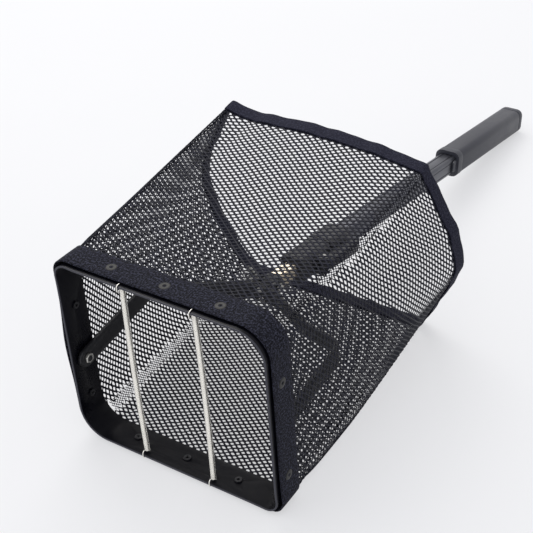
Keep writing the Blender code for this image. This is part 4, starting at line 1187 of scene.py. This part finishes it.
# A hook's wire, as (Y, height) in metres. Y is past the coil, the hole in the hoop or the hoop's front
# edge, and height is past the coil's end or the wire's own place outside the band.
HOOK_AT_COIL = ((0.0012, -0.0010), (0.0018, 0.0004))
HOOK_AT_HOLE = ((0.0, -0.0016), (-0.0005, -0.0003), (-0.0016, 0.0))
HOOK_AT_EDGE = (
    (0.0012, 0.0),
    (-0.0002, -0.0004),
    (-0.0008, -0.0016),
    (-0.0008, -0.0044),
    (-0.0002, -0.0058),
    (0.0016, -0.0068),
)
HOOK_INTO_HOLE = (-0.0002, 0.0014)
HOOK_OVER_BAND = 0.0003


def wind_coil(name):
    """Close-wound wire round Z, from the springs' foot to their head, with closed ends."""
    select_none()
    bpy.ops.mesh.primitive_circle_add(
        vertices=WIRE_SIDES,
        radius=SPRING_WIRE / 2,
        location=(SPRING_RADIUS - SPRING_WIRE / 2, 0, SPRING_FOOT),
        rotation=(math.pi / 2, 0, 0),
    )
    coil = bpy.context.object
    coil.name = name
    bpy.ops.object.transform_apply(location=True, rotation=True, scale=True)
    screw = coil.modifiers.new("winding", "SCREW")
    screw.screw_offset = (SPRING_HEAD - SPRING_FOOT) / COIL_TURNS
    screw.iterations = COIL_TURNS
    screw.steps = screw.render_steps = COIL_STEPS
    screw.use_smooth_shade = True
    bpy.ops.object.modifier_apply(modifier=screw.name)
    bpy.ops.object.mode_set(mode="EDIT")
    bpy.ops.mesh.select_all(action="DESELECT")
    bpy.ops.mesh.select_non_manifold()
    bpy.ops.mesh.edge_face_add()
    bpy.ops.mesh.select_all(action="SELECT")
    bpy.ops.mesh.normals_make_consistent(inside=False)
    bpy.ops.object.mode_set(mode="OBJECT")
    return coil


def make_hook(name, x, end):
    """A wire from the coil's end out through the hoop, over its front edge and back under."""
    middle = HOOP_HEIGHT / 2
    wire = SPRING_WIRE / 2
    outside = middle - BAND_INSET + HOOK_OVER_BAND + wire
    coil_end = (SPRING_HEAD - SPRING_FOOT) / 2
    route = [(COIL_FROM_EDGE + y, coil_end + z) for y, z in HOOK_AT_COIL]
    route.append((SPRING_FROM_EDGE + HOOK_INTO_HOLE[0], coil_end + HOOK_INTO_HOLE[1]))
    route += [(SPRING_FROM_EDGE + y, outside + z) for y, z in HOOK_AT_HOLE]
    route += [(y, outside + z) for y, z in HOOK_AT_EDGE]
    curve = bpy.data.curves.new(name, "CURVE")
    curve.dimensions = "3D"
    curve.bevel_depth = wire
    curve.bevel_resolution = 3
    curve.use_fill_caps = True
    curve.resolution_u = 4
    spline = curve.splines.new("BEZIER")
    spline.bezier_points.add(len(route) - 1)
    for point, (y, z) in zip(spline.bezier_points, route):
        point.co = (x, y - MIDDLE_Y, middle + end * z)
        point.handle_left_type = point.handle_right_type = "AUTO"
    select_only(new_object(name, curve))
    bpy.ops.object.convert(target="MESH")
    obj = bpy.context.object
    bpy.ops.object.mode_set(mode="EDIT")
    bpy.ops.mesh.select_all(action="SELECT")
    bpy.ops.mesh.remove_doubles(threshold=MERGE_WITHIN)
    bpy.ops.mesh.normals_make_consistent(inside=False)
    bpy.ops.object.mode_set(mode="OBJECT")
    bpy.ops.object.shade_smooth_by_angle(angle=math.radians(50))
    obj.data.materials.append(SPRING_WIRE_FINISH)
    ride(obj, "hoop", "spring_steel")


def make_spring(label, side):
    """A coil that bows a little outwards, between two hooks."""
    x = side * SPRING_SPACING
    coil = wind_coil(f"spring_{label}_coil")
    for vert in coil.data.vertices:
        share = (vert.co.z - SPRING_FOOT) / (SPRING_HEAD - SPRING_FOOT)
        vert.co.x += side * SPRING_BOW * math.sin(math.pi * min(max(share, 0), 1))
    in_place(coil, (x, COIL_FROM_EDGE - MIDDLE_Y, 0))
    coil.data.materials.append(SPRING_WIRE_FINISH)
    ride(coil, "hoop", "spring_steel", f"spring_{label}")
    for name, end in (("lower", -1), ("upper", 1)):
        make_hook(f"spring_{label}_hook_{name}", x, end)


make_spring("left", -1)
make_spring("right", 1)


# Tubular rivets

RIVET_HEAD_RADIUS = 0.0048
RIVET_RIM = 0.0006
RIVET_SIDES = 24
RIVET_EDGE = 0.0001

# The rings of a rivet's head from its rim inwards, each with its width and rise
RIVET_RINGS = (
    (0.0009, 0.00028),
    (0.0012, 0.00012),
    (0.0010, -0.00005),
    (0.0003, -0.0003),
    (0.0003, -0.0004),
)
RIVET_SUNK = 0.0006
FOOT_RIVET_SUNK = 0.0012
RIVET_LIFT = 0.0002

# Where each rivet stands on the hoop, in turns
RIVET_TURNS = {
    "rivet_top_left": 0.24,
    "rivet_top_middle": 0.5,
    "rivet_top_right": 0.76,
    "rivet_right_high": 1.28,
    "rivet_right_low": 1.83,
    "rivet_bottom_right": 2.24,
    "rivet_bottom_middle": 2.5,
    "rivet_bottom_left": 2.76,
    "rivet_left_low": 3.17,
    "rivet_left_high": 3.72,
}


def make_rivet_head():
    """A head about Z: a domed flange with a rolled eyelet in its middle, its underside at Z = 0."""
    select_none()
    bpy.ops.mesh.primitive_cylinder_add(
        vertices=RIVET_SIDES, radius=RIVET_HEAD_RADIUS, depth=RIVET_RIM, location=(0, 0, RIVET_RIM / 2)
    )
    head = bpy.context.object
    bpy.ops.object.mode_set(mode="EDIT")
    bpy.ops.mesh.select_all(action="DESELECT")
    bpy.ops.object.mode_set(mode="OBJECT")
    top = max(head.data.polygons, key=lambda face: face.center.z)
    top.select = True
    bpy.ops.object.mode_set(mode="EDIT")
    for width, rise in RIVET_RINGS:
        bpy.ops.mesh.inset(thickness=width, depth=rise)
    bpy.ops.object.mode_set(mode="OBJECT")
    soften_edges(head, RIVET_EDGE)
    bpy.ops.object.shade_smooth_by_angle(angle=math.radians(60))
    head.data.materials.append(RIVET_COATING)
    return head


def rivet_places():
    """Each rivet's name, its (X, Z) on the webbing and its turn about Y in degrees."""
    places = []
    for label, x in (("left", -RIVET_SPREAD), ("middle", 0.0), ("right", RIVET_SPREAD)):
        places.append((f"rivet_top_{label}", (x, HOOP_HEIGHT - RIVET_SUNK), 0))
        places.append((f"rivet_bottom_{label}", (x, FOOT_RIVET_SUNK), 180))
    for label, z in (("low", SIDE_RIVET_LOW), ("high", SIDE_RIVET_HIGH)):
        places.append((f"rivet_left_{label}", (-HOOP_WIDTH / 2 + RIVET_SUNK, z), -90))
        places.append((f"rivet_right_{label}", (HOOP_WIDTH / 2 - RIVET_SUNK, z), 90))
    return places


def make_rivets():
    """Domed heads that follow the webbing's slack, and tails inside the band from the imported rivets."""
    pattern = make_rivet_head()
    places = rivet_places()
    for name, (x, z), turn in places:
        obj = new_object(f"{name}_domed", pattern.data.copy())
        obj.rotation_euler = (0, math.radians(turn), 0)
        lift = webbing_slack(RIVET_TURNS[name]) + RIVET_LIFT
        out = Vector((math.sin(math.radians(turn)), math.cos(math.radians(turn)))) * lift
        in_place(obj, (x + out.x, RIVET_FROM_EDGE - MIDDLE_Y, max(z + out.y, RIVET_LOWEST)))
        ride(obj, "hoop", "black_steel")
    bpy.data.objects.remove(pattern)
    for name, _, _ in places:
        finished_copy(name, "hoop", BLACK_COATING, "black_steel", RIVET_EDGE, "tail")


make_rivets()
